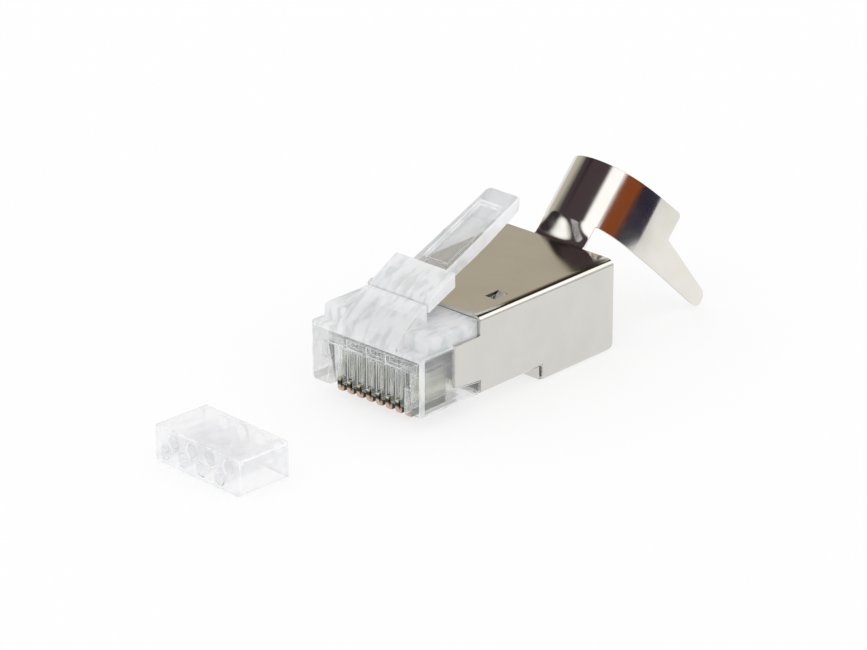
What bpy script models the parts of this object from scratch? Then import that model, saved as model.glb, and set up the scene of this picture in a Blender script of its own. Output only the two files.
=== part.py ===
"""Shielded 8P8C ethernet plug with its cable collar and its load bar.

Metres, +Z up. The nose points to -Y and the cable comes in from +Y. The origin is the middle of
the rear section's underside, which the plug stands on. Stations are lengths measured rearwards
from the nose's front face; levels are heights above the front section's underside.
"""
import math

import bmesh
import bpy
from mathutils import Matrix, Vector

MM = 0.001

# Running gaps
FIT_GAP = 0.05 * MM
HINGE_GAP = 0.10 * MM

# Whole plug
PLUG_WIDTH = 11.68 * MM
FRONT_HEIGHT = 6.50 * MM
REAR_DROP = 1.20 * MM
BODY_LENGTH = 22.0 * MM
STEP_STATION = 13.75 * MM

# Folded shield
SHEET = 0.25 * MM
FOLD_RADIUS = 0.42 * MM
FOLD_SEGMENTS = 4
TOP_PLATE_STATION = 6.5 * MM
SIDE_PLATE_STATION = 3.7 * MM
SIDE_STEP_LEVEL = 4.90 * MM
RAIL_CUT_STATION = 6.6 * MM
RAIL_CUT_FRONT_LEVEL = 1.50 * MM
RAIL_CUT_REAR_LEVEL = 1.20 * MM
REAR_CORNER_RADIUS = 0.75 * MM
TOP_CORNER_TRIM = 0.35 * MM
RELIEF_LENGTH = 0.14 * MM
RELIEF_DEPTH = 0.30 * MM
SEAM_WIDTH = 0.16 * MM
SEAM_X = 2.6 * MM
BARB_X = 3.80 * MM
BARB_STATION = 9.8 * MM
BARB_LENGTH = 1.5 * MM
BARB_WIDTH = 1.00 * MM
BARB_DIP = 0.32 * MM
BARB_THINNING = 0.04 * MM

# Moulded housing
HOUSING_REAR_STATION = 21.0 * MM
NOSE_STEP_STATION = 1.05 * MM
NOSE_EDGE_ROUND = 0.30 * MM
LINTEL_LEVEL = 3.50 * MM
CAVITY_WIDTH = 9.70 * MM
CAVITY_FLOOR_LEVEL = 1.30 * MM
CAVITY_ROOF_LEVEL = 5.45 * MM
CAVITY_STATION = 8.6 * MM
REAR_FLOOR = 0.50 * MM
REAR_FLOOR_STATION = 14.6 * MM
CHANNEL_STATION = 1.45 * MM
CHANNEL_FLOOR_LEVEL = 2.40 * MM
CHANNEL_HEIGHT = 1.15 * MM
CHANNEL_WALL = 0.28 * MM

# Contact blades, standing proud as they do before the plug is crimped
CONTACT_COUNT = 8
CONTACT_PITCH = 1.016 * MM
CONTACT_THICK = 0.35 * MM
CONTACT_STATION = 0.70 * MM
CONTACT_LENGTH = 4.20 * MM
CONTACT_PROUD = 0.70 * MM
CONTACT_BODY_LEVEL = 1.30 * MM
CONTACT_TOOTH_LEVEL = 2.30 * MM
CONTACT_TEETH = 3
CONTACT_NOSE_RADIUS = 0.50 * MM
COMB_DEPTH = 0.86 * MM
COMB_SIDE = 0.42 * MM
COMB_GROOVE_WIDTH = 0.42 * MM
COMB_GROOVE_DEPTH = 0.22 * MM
SLOT_FRONT_LEVEL = 0.55 * MM
SLOT_SKIN = 0.30 * MM

# Latch lever and the pad that it springs from
LATCH_WIDTH = 6.2 * MM
LATCH_ROOT_STATION = 3.60 * MM
LATCH_AXIS_LEVEL = 7.20 * MM
LATCH_SHOULDER_STATION = 6.7 * MM
LATCH_SHOULDER_LEVEL = 9.30 * MM
LATCH_SHOULDER_THICK = 1.25 * MM
LATCH_ROOT_THICK = 0.75 * MM
LATCH_SHOULDER_STEP = 0.50 * MM
LATCH_TIP_STATION = 15.80 * MM
LATCH_TIP_LEVEL = 12.50 * MM
LATCH_TIP_THICK = 1.00 * MM
LATCH_WAIST_THICK = 0.85 * MM
LATCH_TIP_WIDTH = 3.30 * MM
LATCH_NECK_WIDTH = 3.70 * MM
LATCH_TIP_ROUND = 0.40 * MM
LATCH_TIP_UNDERCUT = 0.45 * MM
LATCH_TIP_SOFTENING = 0.15 * MM
LATCH_BELLY = 0.34 * MM
LATCH_ROOT_LIP = 0.35 * MM
LATCH_RIM = 0.45 * MM
LATCH_CHANNEL_DEPTH = 0.30 * MM
LATCH_CHANNEL_START = 1.1 * MM
LATCH_CHANNEL_END = 1.6 * MM
LATCH_PAD_FRONT_STATION = 1.3 * MM

# Strain-relief collar
COLLAR_TILT = math.radians(47.0)
COLLAR_RADIUS = 3.82 * MM
COLLAR_LENGTH = 5.00 * MM
COLLAR_FLARE = math.radians(7.0)
COLLAR_STATION = 25.6 * MM
COLLAR_LEVEL = 6.0 * MM
COLLAR_ARM = 4.35 * MM
COLLAR_SPLIT = 2.68 * MM
TONGUE_LENGTH = 6.75 * MM
TONGUE_TIP_WIDTH = 1.40 * MM
TONGUE_LEAN = 0.20 * MM
TONGUE_TIP_RADIUS = 0.62 * MM
ARM_CORNER_RADIUS = 0.40 * MM
NECK_WIDTH = 5.00 * MM
NECK_TAB = 0.15 * MM
NECK_RISE = math.radians(76.0)
NECK_ROWS = 7
ARC_COLUMNS = 24
BAND_ROWS = 3
LEVER_STEPS = 6

# Load bar, lying out of the plug in front of the nose
LOAD_BAR_WIDTH = 9.65 * MM
LOAD_BAR_LENGTH = 5.05 * MM
LOAD_BAR_HEIGHT = 2.95 * MM
LOAD_BAR_CHAMFER = 0.35 * MM
LOAD_BAR_X = -1.10 * MM
LOAD_BAR_DISTANCE = 14.30 * MM
LOAD_BAR_TURN = math.radians(-3.0)
WIRE_HOLE_RADIUS = 0.56 * MM
WIRE_ROW_LOW = 0.92 * MM
WIRE_ROW_HIGH = 2.05 * MM
WIRE_ROW_COUNT = 4
HOLE_SIDES = 20

# Values that follow from those above
HALF_WIDTH = PLUG_WIDTH / 2
FRONT_BASE = REAR_DROP
TOP_Z = FRONT_BASE + FRONT_HEIGHT
ORIGIN_STATION = (STEP_STATION + BODY_LENGTH) / 2
CORE_HALF_WIDTH = HALF_WIDTH - SHEET - FIT_GAP
PAIR_PITCH = 2 * CONTACT_PITCH
COMB_HALF_WIDTH = (CONTACT_COUNT - 1) * CONTACT_PITCH / 2 + COMB_SIDE
CUT_MARGIN = 1.0 * MM

CLEAR_PLASTIC = ("clear_polycarbonate", (0.86, 0.88, 0.90), 0.06, 0.0)
NICKEL = ("nickel_plated_sheet", (0.62, 0.59, 0.54), 0.22, 1.0)
GOLD = ("gold_plated_bronze", (0.78, 0.55, 0.34), 0.28, 1.0)


def station(length):
    """World Y of a station."""
    return length - ORIGIN_STATION


def level(height):
    """World Z of a level above the front section's underside."""
    return FRONT_BASE + height


def clear_scene():
    for item in list(bpy.context.scene.objects):
        bpy.data.objects.remove(item, do_unlink=True)


def material(values):
    """The Principled material of one real material, made once and then shared."""
    name, color, roughness, metallic = values
    found = bpy.data.materials.get(name)
    if found:
        return found
    made = bpy.data.materials.new(name)
    made.use_nodes = True
    shader = made.node_tree.nodes["Principled BSDF"]
    shader.inputs["Base Color"].default_value = (*color, 1.0)
    shader.inputs["Roughness"].default_value = roughness
    shader.inputs["Metallic"].default_value = metallic
    return made


def add_object(name, mesh_builder, look=None):
    """Put a finished bmesh into the scene as a named object."""
    mesh = bpy.data.meshes.new(name)
    bmesh.ops.recalc_face_normals(mesh_builder, faces=mesh_builder.faces)
    mesh_builder.to_mesh(mesh)
    mesh_builder.free()
    item = bpy.data.objects.new(name, mesh)
    bpy.context.scene.collection.objects.link(item)
    if look:
        mesh.materials.append(material(look))
    return item


def smooth(item, angle=math.radians(35)):
    item.data.shade_smooth()
    item.data.set_sharp_from_angle(angle=angle)


def extruded(outline, low_x, high_x):
    """A bmesh prism: an outline of (y, z) points stretched from low_x to high_x."""
    shape = bmesh.new()
    face = shape.faces.new([shape.verts.new((low_x, y, z)) for y, z in outline])
    grown = bmesh.ops.extrude_face_region(shape, geom=[face])["geom"]
    moved = [part for part in grown if isinstance(part, bmesh.types.BMVert)]
    bmesh.ops.translate(shape, verts=moved, vec=(high_x - low_x, 0, 0))
    bmesh.ops.recalc_face_normals(shape, faces=shape.faces)
    return shape


def block(low, high):
    """A bmesh box between two corners."""
    shape = bmesh.new()
    bmesh.ops.create_cube(shape, size=1.0)
    size = Vector(high) - Vector(low)
    middle = (Vector(high) + Vector(low)) / 2
    bmesh.ops.scale(shape, verts=shape.verts, vec=size)
    bmesh.ops.translate(shape, verts=shape.verts, vec=middle)
    return shape


def round_edges(shape, chosen, radius, segments):
    """Round the edges for which chosen(middle, direction) is true."""
    edges = []
    for edge in shape.edges:
        start, end = edge.verts[0].co, edge.verts[1].co
        if chosen((start + end) / 2, (end - start).normalized()):
            edges.append(edge)
    bmesh.ops.bevel(shape, geom=edges, offset=radius, segments=segments, profile=0.5,
                    affect="EDGES", material=-1)


def along(direction, axis):
    return abs(direction["xyz".index(axis)]) > 0.99


def cutter(name, shape):
    """A hidden wire object that only shapes others."""
    item = add_object(name, shape)
    item.hide_render = True
    item.display_type = "WIRE"
    return item


def combine(target, tool, operation="DIFFERENCE", solver="EXACT"):
    step = target.modifiers.new(tool.name, "BOOLEAN")
    step.object = tool
    step.operation = operation
    step.solver = solver


def arc(center_y, center_z, radius, start_deg, end_deg, steps):
    """Points of a round corner in the YZ plane."""
    points = []
    for index in range(steps + 1):
        angle = math.radians(start_deg + (end_deg - start_deg) * index / steps)
        points.append((center_y + radius * math.cos(angle), center_z + radius * math.sin(angle)))
    return points


def shield_skin(inset, reach):
    """The folded tube's outline: inset in from the outer face, and longer by reach at both ends."""
    front = station(0.0) - reach
    rear = station(BODY_LENGTH)
    if reach:
        rear_edge = [(rear + reach, inset), (rear + reach, TOP_Z - inset)]
    else:
        corner = REAR_CORNER_RADIUS
        rear_edge = arc(rear - corner, corner, corner, -90, 0, 6) + [(rear, TOP_Z)]
    step = station(STEP_STATION) + inset
    outline = [(front, level(inset)), (step, level(inset)), (step, inset)] + rear_edge
    outline.append((front, TOP_Z - inset))
    half = HALF_WIDTH - inset
    shape = extruded(outline, -half, half)
    folds = lambda middle, direction: along(direction, "y") and abs(middle.x) > half * 0.99
    round_edges(shape, folds, FOLD_RADIUS - inset, FOLD_SEGMENTS)
    return shape


def add_shield():
    shield = add_object("shield", shield_skin(0.0, 0.0), NICKEL)
    combine(shield, cutter("shield_hollow", shield_skin(SHEET, CUT_MARGIN)), solver="MANIFOLD")

    wide = HALF_WIDTH + CUT_MARGIN
    ahead = station(0.0) - 2 * CUT_MARGIN
    front_outline = [
        (ahead, TOP_Z + CUT_MARGIN),
        (ahead, -CUT_MARGIN),
        (station(RAIL_CUT_STATION), -CUT_MARGIN),
        (station(RAIL_CUT_STATION), level(RAIL_CUT_REAR_LEVEL)),
        (station(SIDE_PLATE_STATION), level(RAIL_CUT_FRONT_LEVEL)),
        (station(SIDE_PLATE_STATION), level(SIDE_STEP_LEVEL)),
        (station(TOP_PLATE_STATION), level(SIDE_STEP_LEVEL)),
        (station(TOP_PLATE_STATION), TOP_Z + CUT_MARGIN),
    ]
    combine(shield, cutter("shield_front", extruded(front_outline, -wide, wide)), solver="MANIFOLD")

    seam_low = (SEAM_X - SEAM_WIDTH / 2, ahead, -CUT_MARGIN)
    seam_high = (SEAM_X + SEAM_WIDTH / 2, station(BODY_LENGTH) + CUT_MARGIN, level(SHEET + FOLD_RADIUS))
    combine(shield, cutter("shield_seam", block(seam_low, seam_high)), solver="MANIFOLD")

    for side, label in ((-1, "left"), (1, "right")):
        inner = side * (HALF_WIDTH - RELIEF_DEPTH)
        relief = block((min(inner, side * wide), station(STEP_STATION) - CUT_MARGIN, -CUT_MARGIN),
                       (max(inner, side * wide), station(STEP_STATION + RELIEF_LENGTH), level(0.0)))
        combine(shield, cutter("shield_relief_" + label, relief), solver="MANIFOLD")
        combine(shield, cutter("shield_corner_" + label, corner_trim(side)), solver="MANIFOLD")
        combine(shield, cutter("shield_barb_hole_" + label, barb_hole(side)), solver="MANIFOLD")
        combine(shield, cutter("shield_barb_flap_" + label, barb_flap(side)), "UNION", "MANIFOLD")
    combine(shield, cutter("shield_neck_tab", neck_tab()), "UNION", "MANIFOLD")
    smooth(shield)
    return shield


def corner_trim(side):
    """A cube stood on its corner, which takes the sharp tip off the rear corner of the fold."""
    size = 6 * TOP_CORNER_TRIM
    corner = Vector((side * HALF_WIDTH, station(BODY_LENGTH), TOP_Z))
    inward = Vector((-side, -1.0, -1.0)).normalized()
    shape = bmesh.new()
    bmesh.ops.create_cube(shape, size=size)
    turn = inward.to_track_quat("Z", "Y").to_matrix().to_4x4()
    place = Matrix.Translation(corner + inward * (TOP_CORNER_TRIM - size / 2)) @ turn
    bmesh.ops.transform(shape, matrix=place, verts=shape.verts)
    return shape


def barb_hole(side):
    """The window that the barb is lanced out of."""
    middle = side * BARB_X
    low = (middle - BARB_WIDTH / 2, station(BARB_STATION), TOP_Z - SHEET - CUT_MARGIN)
    high = (middle + BARB_WIDTH / 2, station(BARB_STATION + BARB_LENGTH), TOP_Z + CUT_MARGIN)
    return block(low, high)


def barb_flap(side):
    """The lanced tab, bent down from its rear edge into the window."""
    root = station(BARB_STATION + BARB_LENGTH) + FIT_GAP
    tip = station(BARB_STATION) + FIT_GAP
    upper = TOP_Z - BARB_THINNING
    lower = TOP_Z - SHEET + BARB_THINNING
    outline = [(root, upper), (tip, upper - BARB_DIP), (tip, lower - BARB_DIP), (root, lower)]
    reach = BARB_WIDTH / 2 - FIT_GAP
    return extruded(outline, side * BARB_X - reach, side * BARB_X + reach)


def barb_pocket(side):
    """The pocket in the housing's roof that the barb dips into."""
    middle = side * BARB_X
    reach = BARB_WIDTH / 2 + FIT_GAP
    floor = TOP_Z - SHEET - BARB_DIP - FIT_GAP
    low = (middle - reach, station(BARB_STATION) - FIT_GAP, floor)
    high = (middle + reach, station(BARB_STATION + BARB_LENGTH) + FIT_GAP, TOP_Z)
    return block(low, high)


def neck_tab():
    """The short tab on the top plate that the collar's neck bends from."""
    low = (-NECK_WIDTH / 2, station(BODY_LENGTH) - SHEET, TOP_Z - SHEET)
    high = (NECK_WIDTH / 2, station(BODY_LENGTH + NECK_TAB), TOP_Z)
    return block(low, high)


def housing_core():
    """The part of the housing that slides into the shield."""
    floor = SHEET + FIT_GAP
    roof = TOP_Z - SHEET - FIT_GAP
    step = station(STEP_STATION) + SHEET + FIT_GAP
    outline = [
        (station(NOSE_STEP_STATION), level(0.0)),
        (station(RAIL_CUT_STATION) - FIT_GAP, level(0.0)),
        (station(RAIL_CUT_STATION) - FIT_GAP, level(floor)),
        (step, level(floor)),
        (step, floor),
        (station(HOUSING_REAR_STATION), floor),
        (station(HOUSING_REAR_STATION), roof),
        (station(NOSE_STEP_STATION), roof),
    ]
    shape = extruded(outline, -CORE_HALF_WIDTH, CORE_HALF_WIDTH)
    inner_fold = FOLD_RADIUS - SHEET
    long_edges = lambda middle, direction: along(direction, "y") and abs(middle.x) > CORE_HALF_WIDTH * 0.99
    round_edges(shape, long_edges, inner_fold, 2)
    return shape


def housing_nose():
    """The full-width lower nose, flush with the shield's side plates, and the rails behind it."""
    outline = [
        (station(0.0), level(0.0)),
        (station(RAIL_CUT_STATION) - FIT_GAP, level(0.0)),
        (station(RAIL_CUT_STATION) - FIT_GAP, level(RAIL_CUT_REAR_LEVEL) - FIT_GAP),
        (station(SIDE_PLATE_STATION) - FIT_GAP, level(RAIL_CUT_FRONT_LEVEL) - FIT_GAP),
        (station(SIDE_PLATE_STATION) - FIT_GAP, level(SIDE_STEP_LEVEL)),
        (station(0.0), level(SIDE_STEP_LEVEL)),
    ]
    shape = extruded(outline, -HALF_WIDTH, HALF_WIDTH)
    front = station(0.0) + 0.01 * MM
    outer = HALF_WIDTH * 0.99
    rounded = lambda middle, direction: middle.y < front or (
        along(direction, "y") and abs(middle.x) > outer and middle.z < level(0.01 * MM))
    round_edges(shape, rounded, NOSE_EDGE_ROUND, 3)
    return shape


def latch_pad():
    """The wedge on top of the nose that the latch springs from."""
    rear = station(LATCH_ROOT_STATION) - HINGE_GAP
    top = level(LATCH_AXIS_LEVEL + LATCH_ROOT_THICK / 2)
    base = TOP_Z - SHEET - FIT_GAP - FOLD_RADIUS
    outline = [
        (station(LATCH_PAD_FRONT_STATION), base),
        (rear, base),
        (rear, top),
        (rear - LATCH_ROOT_LIP, top),
        (station(LATCH_PAD_FRONT_STATION), TOP_Z - SHEET),
    ]
    return extruded(outline, -LATCH_WIDTH / 2, LATCH_WIDTH / 2)


def contact_x(index):
    return (index - (CONTACT_COUNT - 1) / 2) * CONTACT_PITCH


def add_housing():
    housing = add_object("housing", housing_core(), CLEAR_PLASTIC)
    combine(housing, cutter("housing_nose", housing_nose()), "UNION")
    combine(housing, cutter("housing_pad", latch_pad()), "UNION")

    half = CAVITY_WIDTH / 2
    behind = station(HOUSING_REAR_STATION) + CUT_MARGIN
    cavity_outline = [
        (station(CAVITY_STATION), level(CAVITY_FLOOR_LEVEL)),
        (station(REAR_FLOOR_STATION), level(CAVITY_FLOOR_LEVEL)),
        (station(REAR_FLOOR_STATION + REAR_DROP), SHEET + FIT_GAP + REAR_FLOOR),
        (behind, SHEET + FIT_GAP + REAR_FLOOR),
        (behind, level(CAVITY_ROOF_LEVEL)),
        (station(CAVITY_STATION), level(CAVITY_ROOF_LEVEL)),
    ]
    combine(housing, cutter("housing_cavity", extruded(cavity_outline, -half, half)))

    for index in range(CONTACT_COUNT // 2):
        middle = (index - (CONTACT_COUNT // 2 - 1) / 2) * PAIR_PITCH
        reach = (PAIR_PITCH - CHANNEL_WALL) / 2
        low = (middle - reach, station(CHANNEL_STATION), level(CHANNEL_FLOOR_LEVEL))
        ceiling = level(CHANNEL_FLOOR_LEVEL + CHANNEL_HEIGHT)
        high = (middle + reach, station(CAVITY_STATION) + CUT_MARGIN, ceiling)
        combine(housing, cutter("housing_channel_%d" % (index + 1), block(low, high)))

    comb_low = (-COMB_HALF_WIDTH, station(0.0) - CUT_MARGIN, level(0.0) - CUT_MARGIN)
    comb_high = (COMB_HALF_WIDTH, station(COMB_DEPTH), level(LINTEL_LEVEL))
    combine(housing, cutter("housing_comb", block(comb_low, comb_high)))

    for side, label in ((-1, "left"), (1, "right")):
        combine(housing, cutter("housing_barb_pocket_" + label, barb_pocket(side)))

    slot_half = CONTACT_THICK / 2 + FIT_GAP
    groove_half = COMB_GROOVE_WIDTH / 2
    for index in range(CONTACT_COUNT):
        x = contact_x(index)
        slot_rear = station(CONTACT_STATION + CONTACT_LENGTH) + FIT_GAP
        slot_outline = [
            (station(0.0), level(0.0) - CUT_MARGIN),
            (slot_rear, level(0.0) - CUT_MARGIN),
            (slot_rear, level(CHANNEL_FLOOR_LEVEL + CHANNEL_HEIGHT / 4)),
            (station(COMB_DEPTH + SLOT_SKIN), level(CHANNEL_FLOOR_LEVEL + CHANNEL_HEIGHT / 4)),
            (station(COMB_DEPTH + SLOT_SKIN), level(SLOT_FRONT_LEVEL)),
            (station(0.0), level(SLOT_FRONT_LEVEL)),
        ]
        slot = extruded(slot_outline, x - slot_half, x + slot_half)
        combine(housing, cutter("housing_slot_%d" % (index + 1), slot))
        low = (x - groove_half, station(0.0), level(SLOT_FRONT_LEVEL))
        high = (x + groove_half, station(COMB_DEPTH + COMB_GROOVE_DEPTH), level(LINTEL_LEVEL))
        combine(housing, cutter("housing_groove_%d" % (index + 1), block(low, high)))
    smooth(housing)
    return housing


def contact_blade():
    """One stamped blade: a rounded nose, a straight body and its insulation-piercing teeth."""
    low = level(-CONTACT_PROUD)
    front = station(CONTACT_STATION)
    body_front = station(COMB_DEPTH + SLOT_SKIN) + FIT_GAP
    rear = station(CONTACT_STATION + CONTACT_LENGTH)
    radius = CONTACT_NOSE_RADIUS
    outline = [(rear, low)]
    outline += [(rear, level(CONTACT_BODY_LEVEL))]
    tooth = (rear - body_front) / CONTACT_TEETH
    for index in range(CONTACT_TEETH):
        start = rear - index * tooth
        outline.append((start - tooth / 2, level(CONTACT_TOOTH_LEVEL)))
        outline.append((start - tooth, level(CONTACT_BODY_LEVEL)))
    outline.append((body_front, level(SLOT_FRONT_LEVEL) - FIT_GAP))
    outline.append((front, level(SLOT_FRONT_LEVEL) - FIT_GAP))
    outline += arc(front + radius, low + radius, radius, 180, 270, 6)
    return extruded(outline, -CONTACT_THICK / 2, CONTACT_THICK / 2)


def add_contacts():
    first = None
    for index in range(CONTACT_COUNT):
        name = "contact_%d" % (index + 1)
        if first is None:
            first = add_object(name, contact_blade(), GOLD)
            blade = first
        else:
            blade = bpy.data.objects.new(name, first.data)
            bpy.context.scene.collection.objects.link(blade)
        blade.location.x = contact_x(index)


def latch_outline():
    """Side view of the wide part of the latch, from its root up to the shoulder."""
    root = station(LATCH_ROOT_STATION) + HINGE_GAP
    middle = level(LATCH_AXIS_LEVEL)
    shoulder = station(LATCH_SHOULDER_STATION)
    top = level(LATCH_SHOULDER_LEVEL)
    return [
        (root, middle - LATCH_ROOT_THICK / 2),
        (shoulder, top - LATCH_SHOULDER_THICK),
        (shoulder, top),
        (root + LATCH_ROOT_LIP, middle + LATCH_ROOT_THICK),
        (root, middle + LATCH_ROOT_THICK / 2),
    ]


def lever_outline():
    """Side view of the long narrow lever, thinnest behind the shoulder and thicker to its tip."""
    start = station(LATCH_SHOULDER_STATION) - LATCH_SHOULDER_THICK
    tip = station(LATCH_TIP_STATION)
    tip_z = level(LATCH_TIP_LEVEL)
    shoulder = station(LATCH_SHOULDER_STATION)
    shoulder_z = level(LATCH_SHOULDER_LEVEL) - LATCH_SHOULDER_STEP
    slope = (tip_z - shoulder_z) / (tip - shoulder)
    top = lambda y: shoulder_z + slope * (y - shoulder)
    outline = []
    for index in range(LEVER_STEPS + 1):
        share = index / LEVER_STEPS
        y = start + (tip - LATCH_TIP_UNDERCUT - start) * share
        belly = LATCH_BELLY * math.sin(math.pi * share)
        thick = LATCH_WAIST_THICK + (LATCH_TIP_THICK - LATCH_WAIST_THICK) * share + belly
        outline.append((y, top(y) - thick))
    outline.append((tip, top(tip) - LATCH_TIP_UNDERCUT))
    outline.append((tip, top(tip) - LATCH_TIP_SOFTENING))
    outline.append((tip - LATCH_TIP_SOFTENING, top(tip)))
    outline.append((start, top(start)))
    return outline


def add_latch():
    wide = extruded(latch_outline(), -LATCH_WIDTH / 2, LATCH_WIDTH / 2)
    lever = add_object("latch_lever", wide, CLEAR_PLASTIC)
    narrow = extruded(lever_outline(), -LATCH_NECK_WIDTH / 2, LATCH_NECK_WIDTH / 2)
    shoulder = station(LATCH_SHOULDER_STATION)
    tip = station(LATCH_TIP_STATION)
    for vert in narrow.verts:
        share = min(max((vert.co.y - shoulder) / (tip - shoulder), 0.0), 1.0)
        width = LATCH_NECK_WIDTH + (LATCH_TIP_WIDTH - LATCH_NECK_WIDTH) * share
        vert.co.x = math.copysign(width / 2, vert.co.x)
    end = tip - 1.1 * LATCH_TIP_SOFTENING
    tip_edges = lambda middle, direction: not along(direction, "x") and middle.y > end
    round_edges(narrow, tip_edges, LATCH_TIP_ROUND, 3)
    combine(lever, cutter("latch_narrow", narrow), "UNION")

    shoulder_z = level(LATCH_SHOULDER_LEVEL) - LATCH_SHOULDER_STEP
    tip_z = level(LATCH_TIP_LEVEL)
    slope = (tip_z - shoulder_z) / (tip - shoulder)
    near = shoulder + LATCH_CHANNEL_START
    far = tip - LATCH_CHANNEL_END
    near_z = shoulder_z + slope * LATCH_CHANNEL_START - LATCH_CHANNEL_DEPTH
    far_z = tip_z - slope * LATCH_CHANNEL_END - LATCH_CHANNEL_DEPTH
    channel = [(near, near_z), (far, far_z), (far, far_z + CUT_MARGIN), (near, near_z + CUT_MARGIN)]
    half = LATCH_TIP_WIDTH / 2 - LATCH_RIM
    combine(lever, cutter("latch_channel", extruded(channel, -half, half)))
    set_origin(lever, Vector((0, station(LATCH_ROOT_STATION), level(LATCH_AXIS_LEVEL))))
    smooth(lever)
    return lever


def set_origin(item, place):
    """Move an object's origin to its joint's axis; its cutters stay where they are."""
    item.data.transform(Matrix.Translation(-place))
    item.location = place


def collar_frame():
    """The collar's own axes: along its tube, and out through its crown."""
    forward = Vector((0, math.cos(COLLAR_TILT), math.sin(COLLAR_TILT)))
    crown = Vector((0, -math.sin(COLLAR_TILT), math.cos(COLLAR_TILT)))
    middle = Vector((0, station(COLLAR_STATION), level(COLLAR_LEVEL)))
    return middle, forward, crown


def bend(across, forward_length):
    """Where a point of the flat blank lands once the collar is rolled.

    across is the length round from the crown, forward_length the length along the tube.
    """
    radius = COLLAR_RADIUS - SHEET / 2
    side = math.copysign(1.0, across)
    arc_length = radius * (math.pi / 2 - COLLAR_FLARE)
    turned = min(abs(across), arc_length) / radius
    straight = max(abs(across) - arc_length, 0.0)
    x = radius * math.sin(turned) + straight * math.sin(COLLAR_FLARE)
    height = radius * math.cos(turned) - straight * math.cos(COLLAR_FLARE)
    middle, forward, crown = collar_frame()
    return middle + Vector((side * x, 0, 0)) + crown * height + forward * forward_length


def collar_limits(across):
    """Lower edge, split line and upper edge of the blank at one length round from the crown.

    The right arm ends in a tongue on the blank's lower half and the left arm in one on its upper
    half, so that the two pass side by side when the collar is closed round a cable.
    """
    radius = COLLAR_RADIUS - SHEET / 2
    arm_end = radius * (math.pi / 2 - COLLAR_FLARE) + COLLAR_ARM
    tongue_end = arm_end + TONGUE_LENGTH
    past_arm = max(abs(across) - arm_end, 0.0)
    share = past_arm / TONGUE_LENGTH
    inner = COLLAR_SPLIT + (TONGUE_TIP_WIDTH - TONGUE_LEAN - COLLAR_SPLIT) * share
    outer = -TONGUE_LEAN * share
    to_tip = tongue_end - abs(across)
    if to_tip < TONGUE_TIP_RADIUS:
        drop = TONGUE_TIP_RADIUS - to_tip
        cut = TONGUE_TIP_RADIUS - math.sqrt(max(TONGUE_TIP_RADIUS ** 2 - drop ** 2, 0.0))
        cut = min(cut, 0.98 * TONGUE_TIP_RADIUS)
        inner -= cut
        outer += cut
    to_arm_end = arm_end - abs(across)
    corner = 0.0
    if to_arm_end < ARM_CORNER_RADIUS:
        drop = ARM_CORNER_RADIUS - max(to_arm_end, 0.0)
        corner = ARM_CORNER_RADIUS - math.sqrt(max(ARM_CORNER_RADIUS ** 2 - drop ** 2, 0.0))
    return outer, inner, corner


def collar_columns():
    """Lengths round from the crown at which the blank gets a column of points, one side only."""
    radius = COLLAR_RADIUS - SHEET / 2
    arc_length = radius * (math.pi / 2 - COLLAR_FLARE)
    arm_end = arc_length + COLLAR_ARM
    tongue_end = arm_end + TONGUE_LENGTH
    neck_edge = radius * math.asin(NECK_WIDTH / 2 / radius)
    half = ARC_COLUMNS // 2
    neck_columns = round(half * neck_edge / arc_length)
    columns = [neck_edge * index / neck_columns for index in range(neck_columns + 1)]
    rest = half - neck_columns
    columns += [neck_edge + (arc_length - neck_edge) * (index + 1) / rest for index in range(rest)]
    corner = ARM_CORNER_RADIUS
    columns += [arm_end - corner * math.cos(math.radians(angle)) for angle in (0, 30, 55, 75)] + [arm_end]
    columns += [arm_end + (TONGUE_LENGTH - TONGUE_TIP_RADIUS) * index / 4 for index in range(1, 4)]
    for angle in (0, 25, 45, 62, 76, 90):
        columns.append(tongue_end - TONGUE_TIP_RADIUS * math.cos(math.radians(angle)))
    return columns, neck_columns


def column(shape, across, ends):
    """Points across one band of the blank, from its lower end to its upper one."""
    reach = ends[1] - ends[0]
    return [shape.verts.new(bend(across, ends[0] + reach * row / BAND_ROWS)) for row in range(BAND_ROWS + 1)]


def add_band(shape, rows, next_rows):
    """Join two columns of points with quads."""
    for index in range(len(rows) - 1):
        shape.faces.new((rows[index], rows[index + 1], next_rows[index + 1], next_rows[index]))


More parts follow.
